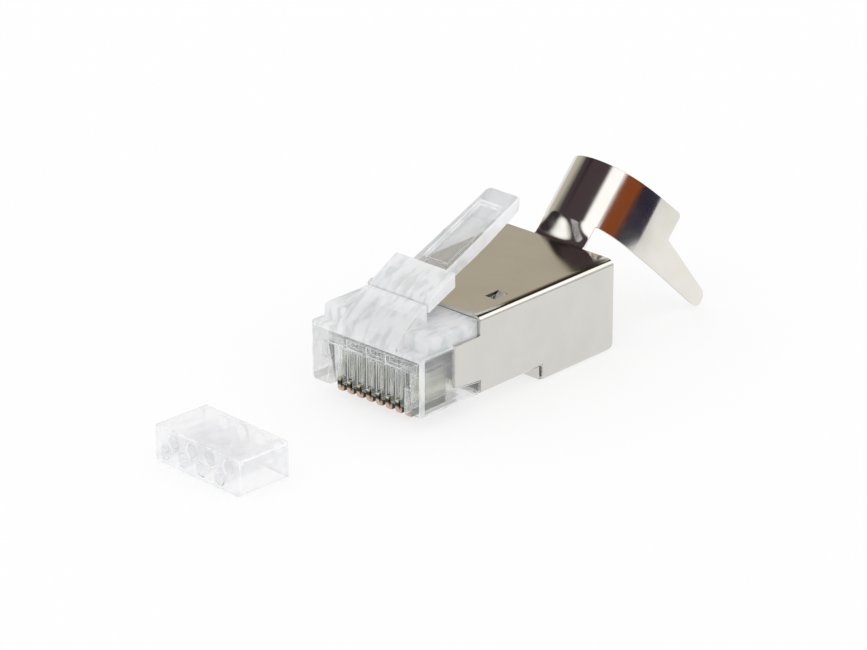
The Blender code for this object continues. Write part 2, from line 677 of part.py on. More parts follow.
def add_collar():
    """The half-round cable collar with its neck, as one bent sheet."""
    columns, neck_columns = collar_columns()
    radius = COLLAR_RADIUS - SHEET / 2
    arm_end = radius * (math.pi / 2 - COLLAR_FLARE) + COLLAR_ARM
    shape = bmesh.new()
    lower_edge = {}
    for side in (-1, 1):
        before_low, before_high = None, None
        for number, length in enumerate(columns):
            across = side * length
            outer, inner, corner = collar_limits(across)
            if side > 0:
                low_ends = (outer, inner)
                high_ends = (COLLAR_SPLIT, COLLAR_LENGTH - corner)
            else:
                low_ends = (corner, COLLAR_SPLIT)
                high_ends = (COLLAR_LENGTH - inner, COLLAR_LENGTH - outer)
            low = None
            high = None
            if number == 0 and side > 0:
                before_low, before_high = lower_edge["crown"]
                continue
            if side > 0 or length <= arm_end:
                low = column(shape, across, low_ends)
            if side < 0 or length <= arm_end:
                start = high_ends[0] if length > arm_end else COLLAR_SPLIT
                high = column(shape, across, (start, high_ends[1]))
            if before_low and low:
                add_band(shape, before_low, low)
            if before_high and high:
                add_band(shape, before_high, high)
            before_low, before_high = low, high
            if number == 0:
                lower_edge["crown"] = (low, high)
            if number <= neck_columns:
                lower_edge[side * number] = low[0]
    lower_edge[0] = lower_edge["crown"][0][0]
    bmesh.ops.remove_doubles(shape, verts=shape.verts, dist=0.001 * MM)
    add_neck(shape, columns, neck_columns)
    bmesh.ops.remove_doubles(shape, verts=shape.verts, dist=0.001 * MM)
    bmesh.ops.recalc_face_normals(shape, faces=shape.faces)
    collar = add_object("strain_relief_collar", shape, NICKEL)
    thicken = collar.modifiers.new("sheet", "SOLIDIFY")
    thicken.thickness = SHEET
    thicken.offset = 0.0
    thicken.use_even_offset = True
    set_origin(collar, collar_axis())
    collar.data.shade_smooth()
    return collar


def collar_axis():
    """The line that the neck bends on, at the end of the shield's tab."""
    return Vector((0, station(BODY_LENGTH + NECK_TAB), TOP_Z - SHEET / 2))


def add_neck(shape, columns, neck_columns):
    """A smooth strip from the shield's tab up to the collar's lower edge."""
    middle, forward, crown = collar_frame()
    base = collar_axis() + Vector((0, HINGE_GAP + SHEET / 2, 0))
    rise = Vector((0, math.cos(NECK_RISE), math.sin(NECK_RISE)))
    before = None
    for number in range(-neck_columns, neck_columns + 1):
        across = math.copysign(columns[abs(number)], number)
        upper = bend(across, 0.0)
        foot = base + Vector((NECK_WIDTH / 2 * number / neck_columns, 0, 0))
        span = (upper - foot).length
        points = []
        for row in range(NECK_ROWS + 1):
            share = row / NECK_ROWS
            first = (1 - share) ** 3
            second = 3 * share * (1 - share) ** 2
            third = 3 * share ** 2 * (1 - share)
            last = share ** 3
            near_foot = foot + rise * span * 0.35
            near_top = upper - forward * span * 0.35
            place = foot * first + near_foot * second + near_top * third + upper * last
            points.append(shape.verts.new(place))
        if before:
            add_band(shape, before, points)
        before = points


def add_load_bar():
    """The wire organiser, taken out of the plug, with two staggered rows of wire holes."""
    size = Vector((LOAD_BAR_WIDTH, LOAD_BAR_LENGTH, LOAD_BAR_HEIGHT))
    shape = block((-size.x / 2, -size.y / 2, 0), (size.x / 2, size.y / 2, size.z))
    side_edges = lambda middle, direction: abs(middle.x) > size.x * 0.49 and not along(direction, "x")
    round_edges(shape, side_edges, LOAD_BAR_CHAMFER, 2)
    place = Vector((LOAD_BAR_X, station(0.0) - LOAD_BAR_DISTANCE, 0))
    turn = Matrix.Translation(place) @ Matrix.Rotation(LOAD_BAR_TURN, 4, "Z")
    bmesh.ops.transform(shape, matrix=turn, verts=shape.verts)
    bar = add_object("load_bar", shape, CLEAR_PLASTIC)
    rows = (("low", WIRE_ROW_LOW, -CONTACT_PITCH / 2), ("high", WIRE_ROW_HIGH, CONTACT_PITCH / 2))
    for row, height, shift in rows:
        for index in range(WIRE_ROW_COUNT):
            x = (index - (WIRE_ROW_COUNT - 1) / 2) * PAIR_PITCH + shift
            hole = bmesh.new()
            bmesh.ops.create_cone(hole, cap_ends=True, segments=HOLE_SIDES, radius1=WIRE_HOLE_RADIUS,
                                  radius2=WIRE_HOLE_RADIUS, depth=LOAD_BAR_LENGTH + 2 * CUT_MARGIN)
            lay = Matrix.Translation((x, 0, height)) @ Matrix.Rotation(math.pi / 2, 4, "X")
            bmesh.ops.transform(hole, matrix=turn @ lay, verts=hole.verts)
            combine(bar, cutter("load_bar_hole_%s_%d" % (row, index + 1), hole))
    smooth(bar)
    return bar


def main():
    clear_scene()
    add_shield()
    add_housing()
    add_contacts()
    add_latch()
    add_collar()
    add_load_bar()


main()
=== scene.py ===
"""Looks of a shielded 8P8C ethernet plug with its cable collar and its load bar.

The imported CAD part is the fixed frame. Every piece is shaped in millimetres and brought to metres
as it is finished. The nose points to -Y, the cable comes in from +Y, and +Z is up. Stations are
lengths measured rearwards from the nose's front face; levels are heights above the front
section's underside.
"""

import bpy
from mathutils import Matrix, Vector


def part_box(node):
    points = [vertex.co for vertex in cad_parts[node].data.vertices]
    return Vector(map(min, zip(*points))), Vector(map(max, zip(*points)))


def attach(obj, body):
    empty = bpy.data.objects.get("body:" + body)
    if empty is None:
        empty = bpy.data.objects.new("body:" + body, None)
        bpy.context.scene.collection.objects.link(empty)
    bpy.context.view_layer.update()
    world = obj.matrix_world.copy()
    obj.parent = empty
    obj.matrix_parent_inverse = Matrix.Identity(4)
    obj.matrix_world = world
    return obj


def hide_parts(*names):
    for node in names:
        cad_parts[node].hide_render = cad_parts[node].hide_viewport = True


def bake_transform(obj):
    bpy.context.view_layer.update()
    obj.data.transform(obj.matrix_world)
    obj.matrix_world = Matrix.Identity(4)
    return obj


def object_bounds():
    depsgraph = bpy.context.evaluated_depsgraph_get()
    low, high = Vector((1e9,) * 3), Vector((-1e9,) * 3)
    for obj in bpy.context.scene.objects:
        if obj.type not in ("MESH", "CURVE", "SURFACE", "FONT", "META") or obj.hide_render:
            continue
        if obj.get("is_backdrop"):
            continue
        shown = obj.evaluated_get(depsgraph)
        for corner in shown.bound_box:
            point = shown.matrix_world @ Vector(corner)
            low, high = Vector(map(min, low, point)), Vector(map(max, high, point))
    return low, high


bl_info = {
    "name": "Ethernet Plug",
    "version": (1, 0, 0),
    "blender": (4, 5, 0),
    "location": "View3D > Sidebar > Ethernet Plug",
    "description": "Builds a shielded ethernet plug round its CAD frame",
    "category": "Object",
}

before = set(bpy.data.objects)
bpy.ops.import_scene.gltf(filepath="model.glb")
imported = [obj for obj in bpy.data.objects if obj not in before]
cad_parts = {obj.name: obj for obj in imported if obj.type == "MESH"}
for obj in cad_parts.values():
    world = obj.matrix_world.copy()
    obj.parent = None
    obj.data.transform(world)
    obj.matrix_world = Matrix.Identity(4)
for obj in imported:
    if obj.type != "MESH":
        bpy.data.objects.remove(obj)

import math
from types import SimpleNamespace

import bmesh
import bpy
from bpy.props import FloatProperty, FloatVectorProperty, IntProperty, PointerProperty
from mathutils import Matrix, Vector

CAD_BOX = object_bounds()
MM = 0.001


def corners(node):
    """Lowest and highest corner of a CAD node, in millimetres."""
    return [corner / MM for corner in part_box(node)]


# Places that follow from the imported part, in millimetres
SHIELD_HIGH = corners("shield")[1]
HOUSING_LOW, HOUSING_HIGH = corners("housing")
LATCH_LOW, LATCH_HIGH = corners("latch_lever")
NOSE_Y = HOUSING_LOW.y
HALF_WIDTH = SHIELD_HIGH.x
TOP_Z = SHIELD_HIGH.z
PAD_TOP = HOUSING_HIGH.z

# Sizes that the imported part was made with, in millimetres
BODY_LENGTH = 22.0
SHIELD_REAR = NOSE_Y + BODY_LENGTH
FRONT_BASE = 1.20
PITCH = 1.016
CONTACTS, PAIRS = 8, 4
HINGE_GAP = 0.20

# Hollows that lie deep inside the housing, as stations, levels and widths in millimetres
CAVITY_FRONT, RAMP_TOP, RAMP_FOOT = 8.6, 14.6, 15.8
CAVITY_FLOOR, CAVITY_ROOF, REAR_FLOOR = 1.3, 5.45, 0.5
CHANNEL_FRONT, CHANNEL_REAR, CHANNEL_FLOOR, CHANNEL_ROOF, CHANNEL_WALL = 1.45, 9.6, 2.4, 3.55, 0.14
WINDOW_LEFT, WINDOW_RIGHT, WINDOW_LOW, WINDOW_HIGH = 0.97, 0.65, 3.66, 4.30
NOTCH_DEPTH, NOTCH_WIDTH, NOTCH_LOW, NOTCH_HIGH = 0.6, 0.66, 2.15, 3.5
POCKET_BEFORE, POCKET_BEYOND, POCKET_FLOOR, POCKET_HALF = 0.6, 0.7, 5.0, 1.0
SLOT_FRONT, SLOT_REAR, SLOT_TOP, SLOT_LOW, SLOT_HALF = 1.16, 4.95, 2.6875, 0.55, 0.225

# How far a carving shape reaches past the outside, so that it cuts clean through, in millimetres
PAST = 1.0

# The latch's shallow channel, which is polished, in millimetres
LATCH_CHANNEL_FRONT, LATCH_CHANNEL_REAR, LATCH_CHANNEL_HALF = 7.6, 14.4, 1.15

# Stations as far back as which a contact's edge and its flanks are gilt
GILT_EDGE, GILT_FLANK = 6.0, 1.05

# The neck's sheet runs straight on from the shield and from the collar for these shares of its span,
# and it is cut this much longer than the straight line between its ends
NECK_FROM_SHIELD, NECK_FROM_COLLAR, NECK_SLACK = 0.16, 0.26, 1.1

# How near two points are one, how near a face lies in a plane, the weld of a CAD mesh, and how near a
# cut takes a point as its own, in millimetres
WELD, NEAR, CAD_WELD, TOUCH = 0.001, 0.01, 0.002, 0.0001

# Faces that turn less than this are one flat face
FLAT = math.radians(0.5)

# The photograph's width and focal length in pixels, and the camera's place in metres and its aim
IMAGE_WIDTH, FOCAL_LENGTH = 867, 4339.4
CAMERA_PLACE = (0.208953, -0.235200, 0.137231)
CAMERA_AIM = (-0.62515, 0.67280, -0.39564)

# Boards round the plug as metal sees them: degrees from straight up, to the right positive, and colour
FRONT_BOARDS = [(-180, "#D8D8D4"), (-110, "#C8C8C0"), (-85, "#A0A096"), (-66, "#8A8C80"), (-60, "#403438"),
                (14, "#403438"), (22, "#FFFFFF"), (53, "#FFFFFF"), (57, "#7A3E1A"), (86, "#7A3E1A"),
                (89, "#242028"), (100, "#242028"), (108, "#D8D8D4"), (180, "#D8D8D4")]
BACK_BOARDS = [(-180, "#D8D8D4"), (-100, "#C0BCAE"), (-66, "#A39B8B"), (-50, "#A39B8B"), (-38, "#2A2018"),
               (0, "#20180E"), (8, "#D0CEC0"), (14, "#FFFFFF"), (66, "#FFFFFF"), (74, "#A8A698"),
               (84, "#C8C6BC"), (100, "#D8D8D4"), (180, "#D8D8D4")]

# Round patches in the surround as metal sees them: direction, outer and inner radius, and colour.
# A dark flag for the collar's left edge, a dark patch for the barbs and a lamp for the neck's bend
PATCHES = [((-0.93, -0.38, 0.12), 0.42, 0.30, "#2C2628"),
           ((-0.64, -0.26, 0.72), 0.18, 0.10, "#1C1814"),
           ((-0.58, -0.79, 0.06), 0.27, 0.10, "#FFFFFF")]

# Corners of the boards on the floor, to the right and to the rear, and their height, in millimetres
NAVY_FELT = [(24, 24.5), (60, 30), (1900, 200), (1900, 1100), (40, 40.5)]
WHITE_CARD = [(2, 15), (14, 14.5), (41.5, 42), (30, 42)]
BOARD_HEIGHT = 0.1


def linear(code):
    """Linear colour of an sRGB hex code."""
    channels = [int(code[place:place + 2], 16) / 255 for place in (1, 3, 5)]
    return [part / 12.92 if part <= 0.04045 else ((part + 0.055) / 1.055) ** 2.4 for part in channels]


def length(name, description, millimetres, low=0.0, high=60.0):
    """A length that the user can change, kept in metres."""
    return FloatProperty(name=name, description=description, default=millimetres * MM,
                         min=low * MM, max=high * MM, precision=5, unit="LENGTH", subtype="DISTANCE")


def angle(name, description, degrees):
    """An angle that the user can change."""
    return FloatProperty(name=name, description=description, default=math.radians(degrees),
                         unit="ROTATION", subtype="ANGLE")


def colour(name, description, code):
    """A colour that the user can change, given as sRGB hex."""
    return FloatVectorProperty(name=name, description=description, default=linear(code),
                               min=0.0, max=1.0, size=3, subtype="COLOR")


class PlugShieldSizes(bpy.types.PropertyGroup):
    """Sizes of the folded shield."""
    sheet: length("Sheet", "Thickness of the plated sheet", 0.25)
    fold_radius: length("Fold radius", "Outer radius of the long folds", 0.42)
    fold_steps: IntProperty(name="Fold steps", description="Faces round one fold", default=10, min=2, max=24)
    dip: angle("Dip", "How far the top plate turns down before its tight fold", 12.0)
    dip_radius: length("Dip radius", "Radius of the top plate's dip", 2.2)
    dip_steps: IntProperty(name="Dip steps", description="Faces across the dip", default=4, min=1, max=12)
    edge_softness: length("Edge softness", "Rounding of the sheared edges", 0.03)
    side_station: length("Side plate start", "Front edge of the side plates", 3.70)
    top_station: length("Top plate start", "Front edge of the top plate", 6.50)
    step_station: length("Step", "Where the shield drops to its deeper rear", 13.75)
    side_step_level: length("Side step", "Top of the low front part of the side plates", 4.90)
    rail_front_level: length("Rail cut front", "Lower edge of the side plate at its front", 1.50)
    rail_rear_level: length("Rail cut rear", "Lower edge of the side plate at the rail's end", 1.20)
    rail_station: length("Rail cut end", "Rear end of the open rail", 6.60)
    corner_radius: length("Rear corner", "Radius of the lower rear corner, seen from the side", 0.75)
    corner_trim: length("Corner trim", "Depth trimmed off the upper rear corner", 0.22)
    relief: length("Relief slit", "Width of the slit beside the step", 0.14)
    seam_x: length("Seam place", "How far right of the middle the bottom seam lies", 2.60)
    seam_width: length("Seam width", "Gap of the bottom seam", 0.16)


class PlugBarbSizes(bpy.types.PropertyGroup):
    """Sizes of the two lanced barbs in the top plate."""
    place: length("Place", "How far the barb lies from the middle", 3.80)
    station: length("Start", "Front edge of the barb's window", 9.80)
    window: length("Window length", "Length of the barb's window", 1.50)
    width: length("Width", "Width of the barb's window", 1.00)
    slit: length("Slit", "Width of the cut beside the barb", 0.08)
    mouth: length("Mouth", "Gap in front of the barb's tip", 0.40)
    dip: length("Dip", "How far the barb's tip is pressed down", 0.75)


class PlugCollarSizes(bpy.types.PropertyGroup):
    """Sizes of the rolled cable collar and its neck."""
    tilt: angle("Tilt", "Angle of the collar's tube above the plug's length", 47.0)
    radius: length("Radius", "Outer radius of the rolled half tube", 3.82)
    depth: length("Length", "Length of the collar along its tube", 5.00)
    tight_turn: angle("Tight turn", "Half the turn of the tight roll", 68.0)
    wide_radius: length("Wide radius", "Radius of the bend that leads into an arm", 9.3)
    flare: angle("Flare", "How far the straight arms lean outwards", 6.5)
    station: length("Station", "Where the tube's axis starts, along the plug", 25.60)
    level: length("Level", "Height of the tube's axis", 6.00)
    arm: length("Arm", "Straight length of each arm below the roll", 2.83)
    split: length("Split", "Width of a tongue where it leaves its arm", 2.68)
    tongue: length("Tongue", "Length of each tongue", 6.75)
    tongue_tip: length("Tongue tip", "Width of a tongue at its tip", 1.40)
    tongue_lean: length("Tongue lean", "How far a tongue's outer edge leans out", 0.20)
    tip_radius: length("Tip radius", "Rounding of a tongue's tip", 0.62)
    corner_radius: length("Arm corner", "Rounding of an arm's free corner", 0.40)
    notch_radius: length("Notch radius", "Rounding in the corner between arm and tongue", 0.25)
    neck_width: length("Neck width", "Width of the neck that joins collar and shield", 5.00)
    roll_step: angle("Roll step", "Angle between two columns of the roll", 4.0)


class PlugHousingSizes(bpy.types.PropertyGroup):
    """Sizes of the clear moulded housing."""
    fit_gap: length("Fit gap", "Gap between housing and shield", 0.05)
    rear_station: length("Rear", "Where the housing ends inside the shield", 21.0)
    upper_station: length("Upper block", "How far the upper block stands back from the nose", 1.05)
    upper_rear_station: length("Upper block's end", "Where the upper block meets the shield", 6.40)
    upper_radius: length("Upper radius", "Rounding of the upper block's edges", 0.40)
    foot_radius: length("Foot radius", "Rounding of the long lower edges of the nose", 0.50)
    nose_radius: length("Nose radius", "Rounding of the nose's front edges", 0.30)
    lintel_level: length("Lintel", "Top of the contact comb's opening", 3.50)
    comb_depth: length("Comb depth", "Depth of the contact comb's opening", 0.86)
    comb_side: length("Comb side", "Opening beyond the outer contacts", 0.42)
    groove_width: length("Groove width", "Width of the groove in front of a contact", 0.42)
    groove_depth: length("Groove depth", "Depth of the groove in front of a contact", 0.22)
    window_depth: length("Window depth", "Depth of the small windows above the lintel", 0.45)
    apron_level: length("Apron", "Lower edge of the sloped apron below the latch", 4.45)
    apron_top: length("Apron top", "Where the apron's slope starts", 5.35)
    apron_radius: length("Apron radius", "Rounding where the apron turns down", 0.60)
    cavity_width: length("Cavity width", "Width of the wire cavity", 9.70)
    edge: length("Small edges", "Rounding of all other moulded edges", 0.05)


class PlugPlasticSizes(bpy.types.PropertyGroup):
    """Roundings of the latch and the load bar."""
    latch_edge: length("Latch edge", "Rounding of the latch's edges", 0.09)
    bar_corner: length("Load bar corner", "Rounding of the load bar's outer edges", 0.28)
    bar_edge: length("Load bar edge", "Rounding of the load bar's edges", 0.10)


class PlugContactSizes(bpy.types.PropertyGroup):
    """Sizes of the contact blades."""
    count: IntProperty(name="Contacts", description="Number of contact blades", default=CONTACTS,
                       min=1, max=CONTACTS)
    edge: length("Blade edge", "Rounding of a blade's edges", 0.05)


class PlugColours(bpy.types.PropertyGroup):
    """Colours of the finishes."""
    nickel: colour("Nickel", "Nickel plate on the folded sheet", "#DAD9D6")
    nickel_tarnish: colour("Tarnish", "Warmer tone of the older plate", "#D0CDC5")
    # The barbs' cut edges are bare steel, darkened further as painted shade inside the barbs' holes
    sheared_edge_and_shade: colour("Sheared edge", "Bare steel at the barbs' cut edges", "#5A564F")
    sheared_grain_and_shade: colour("Sheared dark", "Darker grain of the cut edges", "#46423C")
    gold: colour("Gold", "Gold flash on the bronze contacts", "#CDB2A0")
    contact_body: colour("Contact body", "Plated bronze above the gold edge", "#E6E8C6")
    # Painted shade: the dark band above the gold edge and low on the flanks stands for the shadow between the
    # blades
    contact_dull: colour("Contact dull", "Dull strip just above the gold edge", "#3C3E34")
    contact_flank: colour("Contact flank", "Sheared flank of a contact", "#C8CCA6")
    plastic: colour("Polycarbonate", "Clear moulded polycarbonate", "#FAFBFE")
    flow_marks: colour("Flow marks", "Cloudy marks in the moulding", "#E5E9E8")
    bar: colour("Load bar", "Clear polycarbonate of the load bar", "#FCFCFE")
    bar_marks: colour("Bar marks", "Cloudy marks in the load bar", "#F2F2F7")
    floor: colour("Floor", "Plain pale floor", "#FDFDFD")


def in_mm(group):
    """A property group's values with its lengths in millimetres, as the modelling code uses them."""
    values = {}
    for name in group.__annotations__:
        value = getattr(group, name)
        kind = group.bl_rna.properties[name]
        values[name] = value / MM if kind.type == "FLOAT" and kind.unit == "LENGTH" else value
    return SimpleNamespace(**values)


def y_at(station):
    """World Y of a station, in millimetres."""
    return NOSE_Y + station


def z_at(level):
    """World Z of a level above the front section's underside, in millimetres."""
    return FRONT_BASE + level


# Modelling helpers

def of_kind(grown, kind):
    """The vertices, edges or faces among what an operator made."""
    return [part for part in grown if isinstance(part, kind)]


def each_once(parts):
    """These parts without repeats, in their own order, so that every run makes the same mesh."""
    return list(dict.fromkeys(parts))


def extrude_edges(shape, edges, step):
    """Pull edges out into faces and return the new edges."""
    grown = bmesh.ops.extrude_edge_only(shape, edges=edges)["geom"]
    bmesh.ops.translate(shape, verts=of_kind(grown, bmesh.types.BMVert), vec=step)
    return of_kind(grown, bmesh.types.BMEdge)


def row_edges(edges):
    """The edges among these that run along the plug."""
    found = []
    for edge in edges:
        run = edge.verts[1].co - edge.verts[0].co
        if abs(run.y) > 0.99 * run.length:
            found.append(edge)
    return found


def spin_edges(shape, edges, centre, turn, steps):
    """Bend edges round a Y axis through centre and return the last row."""
    verts = each_once(vert for edge in edges for vert in edge.verts)
    made = bmesh.ops.spin(shape, geom=edges + verts, cent=centre, axis=(0, 1, 0), angle=turn,
                          steps=steps, use_merge=False, use_duplicate=False)
    return of_kind(made["geom_last"], bmesh.types.BMEdge)


def cut(shape, point, normal, chosen=None, clear_outer=False):
    """Cut the chosen faces with a plane, and drop what lies on its outer side if asked to."""
    faces = [face for face in shape.faces if chosen is None or chosen(face.calc_center_median())]
    edges = each_once(edge for face in faces for edge in face.edges)
    verts = each_once(vert for face in faces for vert in face.verts)
    bmesh.ops.bisect_plane(shape, geom=faces + edges + verts, dist=TOUCH, plane_co=point,
                           plane_no=normal, clear_outer=clear_outer)


def drop(shape, chosen):
    """Delete the faces whose middle is chosen."""
    faces = [face for face in shape.faces if chosen(face.calc_center_median())]
    bmesh.ops.delete(shape, geom=faces, context="FACES")


def flat_face(shape, points):
    """A new face through these points."""
    return shape.faces.new([shape.verts.new(point) for point in points])


def prism(outline, low_x, high_x):
    """A bmesh of an outline of (y, z) points stretched from low_x to high_x."""
    shape = bmesh.new()
    face = flat_face(shape, [(low_x, y, z) for y, z in outline])
    grown = bmesh.ops.extrude_face_region(shape, geom=[face])["geom"]
    bmesh.ops.translate(shape, verts=of_kind(grown, bmesh.types.BMVert), vec=(high_x - low_x, 0, 0))
    bmesh.ops.recalc_face_normals(shape, faces=shape.faces)
    return shape


def block(low, high):
    """A bmesh box between two corners."""
    shape = bmesh.new()
    bmesh.ops.create_cube(shape, size=1.0)
    bmesh.ops.scale(shape, vec=Vector(high) - Vector(low), verts=shape.verts)
    bmesh.ops.translate(shape, vec=(Vector(high) + Vector(low)) / 2, verts=shape.verts)
    return shape


def round_edges(shape, radius, segments, axis, chosen=lambda middle: True):
    """Round the edges whose middle is chosen, and that run along the named axis if there is one."""
    edges = []
    for edge in shape.edges:
        run = (edge.verts[1].co - edge.verts[0].co).normalized()
        fits = not axis or abs(run["xyz".index(axis)]) > 0.9
        if fits and chosen((edge.verts[0].co + edge.verts[1].co) / 2):
            edges.append(edge)
    bmesh.ops.bevel(shape, geom=edges, offset=radius, segments=segments, profile=0.5, affect="EDGES",
                    material=-1)


def scratch_object(shape):
    """A temporary object in millimetres."""
    mesh = bpy.data.meshes.new("scratch")
    bmesh.ops.recalc_face_normals(shape, faces=shape.faces)
    shape.to_mesh(mesh)
    shape.free()
    item = bpy.data.objects.new("scratch", mesh)
    bpy.context.scene.collection.objects.link(item)
    return item


def put_in_order(shape):
    """Sort a mesh's parts by place, because a Boolean leaves them in another order on every run."""
    corner = lambda vert: vert.co.to_tuple(4)
    outline = lambda part: sorted(corner(vert) for vert in part.verts)
    for parts, place in ((shape.verts, corner), (shape.edges, outline), (shape.faces, outline)):
        ranks = {part: rank for rank, part in enumerate(sorted(parts, key=place))}
        parts.sort(key=lambda part: ranks[part])


def combined(base, joined=(), carved=()):
    """One bmesh of a base shape with some shapes joined to it and others carved out of it."""
    body = scratch_object(base)
    tools = []
    for operation, shapes in (("UNION", joined), ("DIFFERENCE", carved)):
        for shape in shapes:
            tool = scratch_object(shape)
            tools.append(tool)
            step = body.modifiers.new("step", "BOOLEAN")
            step.object = tool
            step.operation = operation
            step.solver = "EXACT"
    depsgraph = bpy.context.evaluated_depsgraph_get()
    made = bmesh.new()
    made.from_object(body, depsgraph)
    for item in [body, *tools]:
        mesh = item.data
        bpy.data.objects.remove(item)
        bpy.data.meshes.remove(mesh)
    put_in_order(made)
    bmesh.ops.remove_doubles(made, verts=made.verts, dist=CAD_WELD)
    bmesh.ops.dissolve_limit(made, angle_limit=FLAT, verts=made.verts, edges=made.edges)
    return made


def cad_copy(node):
    """A welded copy of a CAD node's shape in millimetres, with its flat faces joined up."""
    shape = bmesh.new()
    shape.from_mesh(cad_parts[node].data)
    bmesh.ops.scale(shape, vec=(1 / MM,) * 3, verts=shape.verts)
    bmesh.ops.remove_doubles(shape, verts=shape.verts, dist=CAD_WELD)
    bmesh.ops.dissolve_limit(shape, angle_limit=FLAT, verts=shape.verts, edges=shape.edges)
    return shape


def applied(item):
    """Apply an object's modifiers and return its new mesh."""
    old = item.data
    item.data = bpy.data.meshes.new_from_object(item.evaluated_get(bpy.context.evaluated_depsgraph_get()))
    item.modifiers.clear()
    bpy.data.meshes.remove(old)
    return item.data


def make_piece(name, shape, materials, thickness=0.0, offset=-1.0, edge=0.0, sharp=40.0, segments=2,
               finish=None, edge_finish=-1, rim=0):
    """Turn a bmesh in millimetres into a finished object in metres.

    A thickness gives a sheet its wall, and an edge rounds every corner sharper than sharp degrees.
    finish(middle, normal) gives the number of a face's material, edge_finish that of the roundings, and
    rim how much further on in the list the material of a sheet's cut edges stands.
    """
    mesh = bpy.data.meshes.new(name)
    shape.to_mesh(mesh)
    shape.free()
    mesh.shade_smooth()
    for material in materials:
        mesh.materials.append(material)
    if finish:
        for face in mesh.polygons:
            face.material_index = finish(face.center, face.normal)
    item = bpy.data.objects.new(name, mesh)
    bpy.context.scene.collection.objects.link(item)
    if thickness:
        wall = item.modifiers.new("Sheet", "SOLIDIFY")
        wall.thickness = thickness
        wall.offset = offset
        wall.use_even_offset = True
        wall.material_offset_rim = rim
    if edge:
        rounding = item.modifiers.new("Edges", "BEVEL")
        rounding.width = edge
        rounding.segments = segments
        rounding.limit_method = "ANGLE"
        rounding.angle_limit = math.radians(sharp)
        rounding.use_clamp_overlap = False
        rounding.material = edge_finish
    # Flat faces stay flat-shaded right up to their rounded edges
    applied(item)
    item.data.set_sharp_from_angle(angle=math.radians(45))
    level = item.modifiers.new("Level faces", "WEIGHTED_NORMAL")
    level.keep_sharp = True
    final = applied(item)
    final.name = name
    final.transform(Matrix.Scale(MM, 4))
    return item


# Materials

def add_node(tree, kind, settings=None, links=None):
    """Add a node. Settings name an attribute, an input, an input's number or a ramp's stops."""
    node = tree.nodes.new(kind)
    for name, value in (settings or {}).items():
        if name == "stops":
            elements = node.color_ramp.elements
            elements[0].position, elements[0].color = value[0][0], (*value[0][1], 1)
            elements[1].position, elements[1].color = value[-1][0], (*value[-1][1], 1)
            for place, shade in value[1:-1]:
                elements.new(place).color = (*shade, 1)
        elif isinstance(name, int) or name in node.inputs:
            node.inputs[name].default_value = value
        else:
            setattr(node, name, value)
    for name, socket in (links or {}).items():
        tree.links.new(socket, node.inputs[name])
    return node


def new_material(name):
    """A node material with an empty tree, and that tree."""
    made = bpy.data.materials.new(name)
    made.use_nodes = True
    made.node_tree.nodes.clear()
    return made, made.node_tree


def finish_material(tree, shader):
    """Lead a shader to the material's output."""
    add_node(tree, "ShaderNodeOutputMaterial", links={"Surface": shader.outputs[0]})


def per_metre(millimetres):
    """Pattern scale, in repeats per metre, of a pattern of this size."""
    return 1000 / millimetres


def nickel_plated_sheet(colours):
    """Cold-rolled steel strip, nickel plated and stamped: a soft mirror with faint rolling lines."""
    made, tree = new_material("nickel_plated_rolled_sheet")
    place = add_node(tree, "ShaderNodeTexCoord").outputs["Object"]
    # The plate's grain is a few microns across; it is drawn 0.12 mm across, so that it shows, and
    # twice as long the way that the strip was rolled
    lines = add_node(tree, "ShaderNodeMapping", {"Scale": (1.0, 0.5, 1.0)}, {"Vector": place})
    grain = add_node(tree, "ShaderNodeTexNoise", {"Scale": per_metre(0.12), "Detail": 3.0, "Roughness": 0.6},
                     {"Vector": lines.outputs[0]})
    # Slow unevenness of the plate, as large as a fingertip's smear
    cloud = add_node(tree, "ShaderNodeTexNoise", {"Scale": per_metre(3.0), "Detail": 4.0, "Roughness": 0.55},
                     {"Vector": place})
    tone = add_node(tree, "ShaderNodeMix",
                    {"data_type": "RGBA", 6: (*colours.nickel, 1), 7: (*colours.nickel_tarnish, 1)},
                    {"Factor": cloud.outputs["Fac"]})
    rough = add_node(tree, "ShaderNodeMapRange",
                     {"From Min": 0.35, "From Max": 0.7, "To Min": 0.11, "To Max": 0.16},
                     {"Value": cloud.outputs["Fac"]})
    ripple = add_node(tree, "ShaderNodeBump", {"Strength": 0.05, "Distance": 0.02 * MM},
                      {"Height": grain.outputs["Fac"]})
    shader = add_node(tree, "ShaderNodeBsdfPrincipled", {"Metallic": 1.0},
                      {"Base Color": tone.outputs[2], "Roughness": rough.outputs[0],
                       "Normal": ripple.outputs[0]})
    finish_material(tree, shader)
    return made


def barb_edge_steel_and_shade(colours):
    """Edges of the lanced barbs, where the punch tore through the plate: bare and grainy, and dark partly as
    painted shade inside the barbs' holes.
    """
    made, tree = new_material("sheared_steel_and_painted_shade")
    place = add_node(tree, "ShaderNodeTexCoord").outputs["Object"]
    # The torn grain is a few microns across; it is drawn 0.08 mm across, so that it shows
    grain = add_node(tree, "ShaderNodeTexNoise", {"Scale": per_metre(0.08), "Detail": 2.0}, {"Vector": place})
    tone = add_node(tree, "ShaderNodeValToRGB",
                    {"stops": [(0.35, colours.sheared_grain_and_shade), (0.65, colours.sheared_edge_and_shade)]},
                    {"Fac": grain.outputs["Fac"]})
    rough = add_node(tree, "ShaderNodeMapRange", {"To Min": 0.3, "To Max": 0.45},
                     {"Value": grain.outputs["Fac"]})
    shader = add_node(tree, "ShaderNodeBsdfPrincipled", {"Metallic": 1.0},
                      {"Base Color": tone.outputs[0], "Roughness": rough.outputs[0]})
    finish_material(tree, shader)
    return made


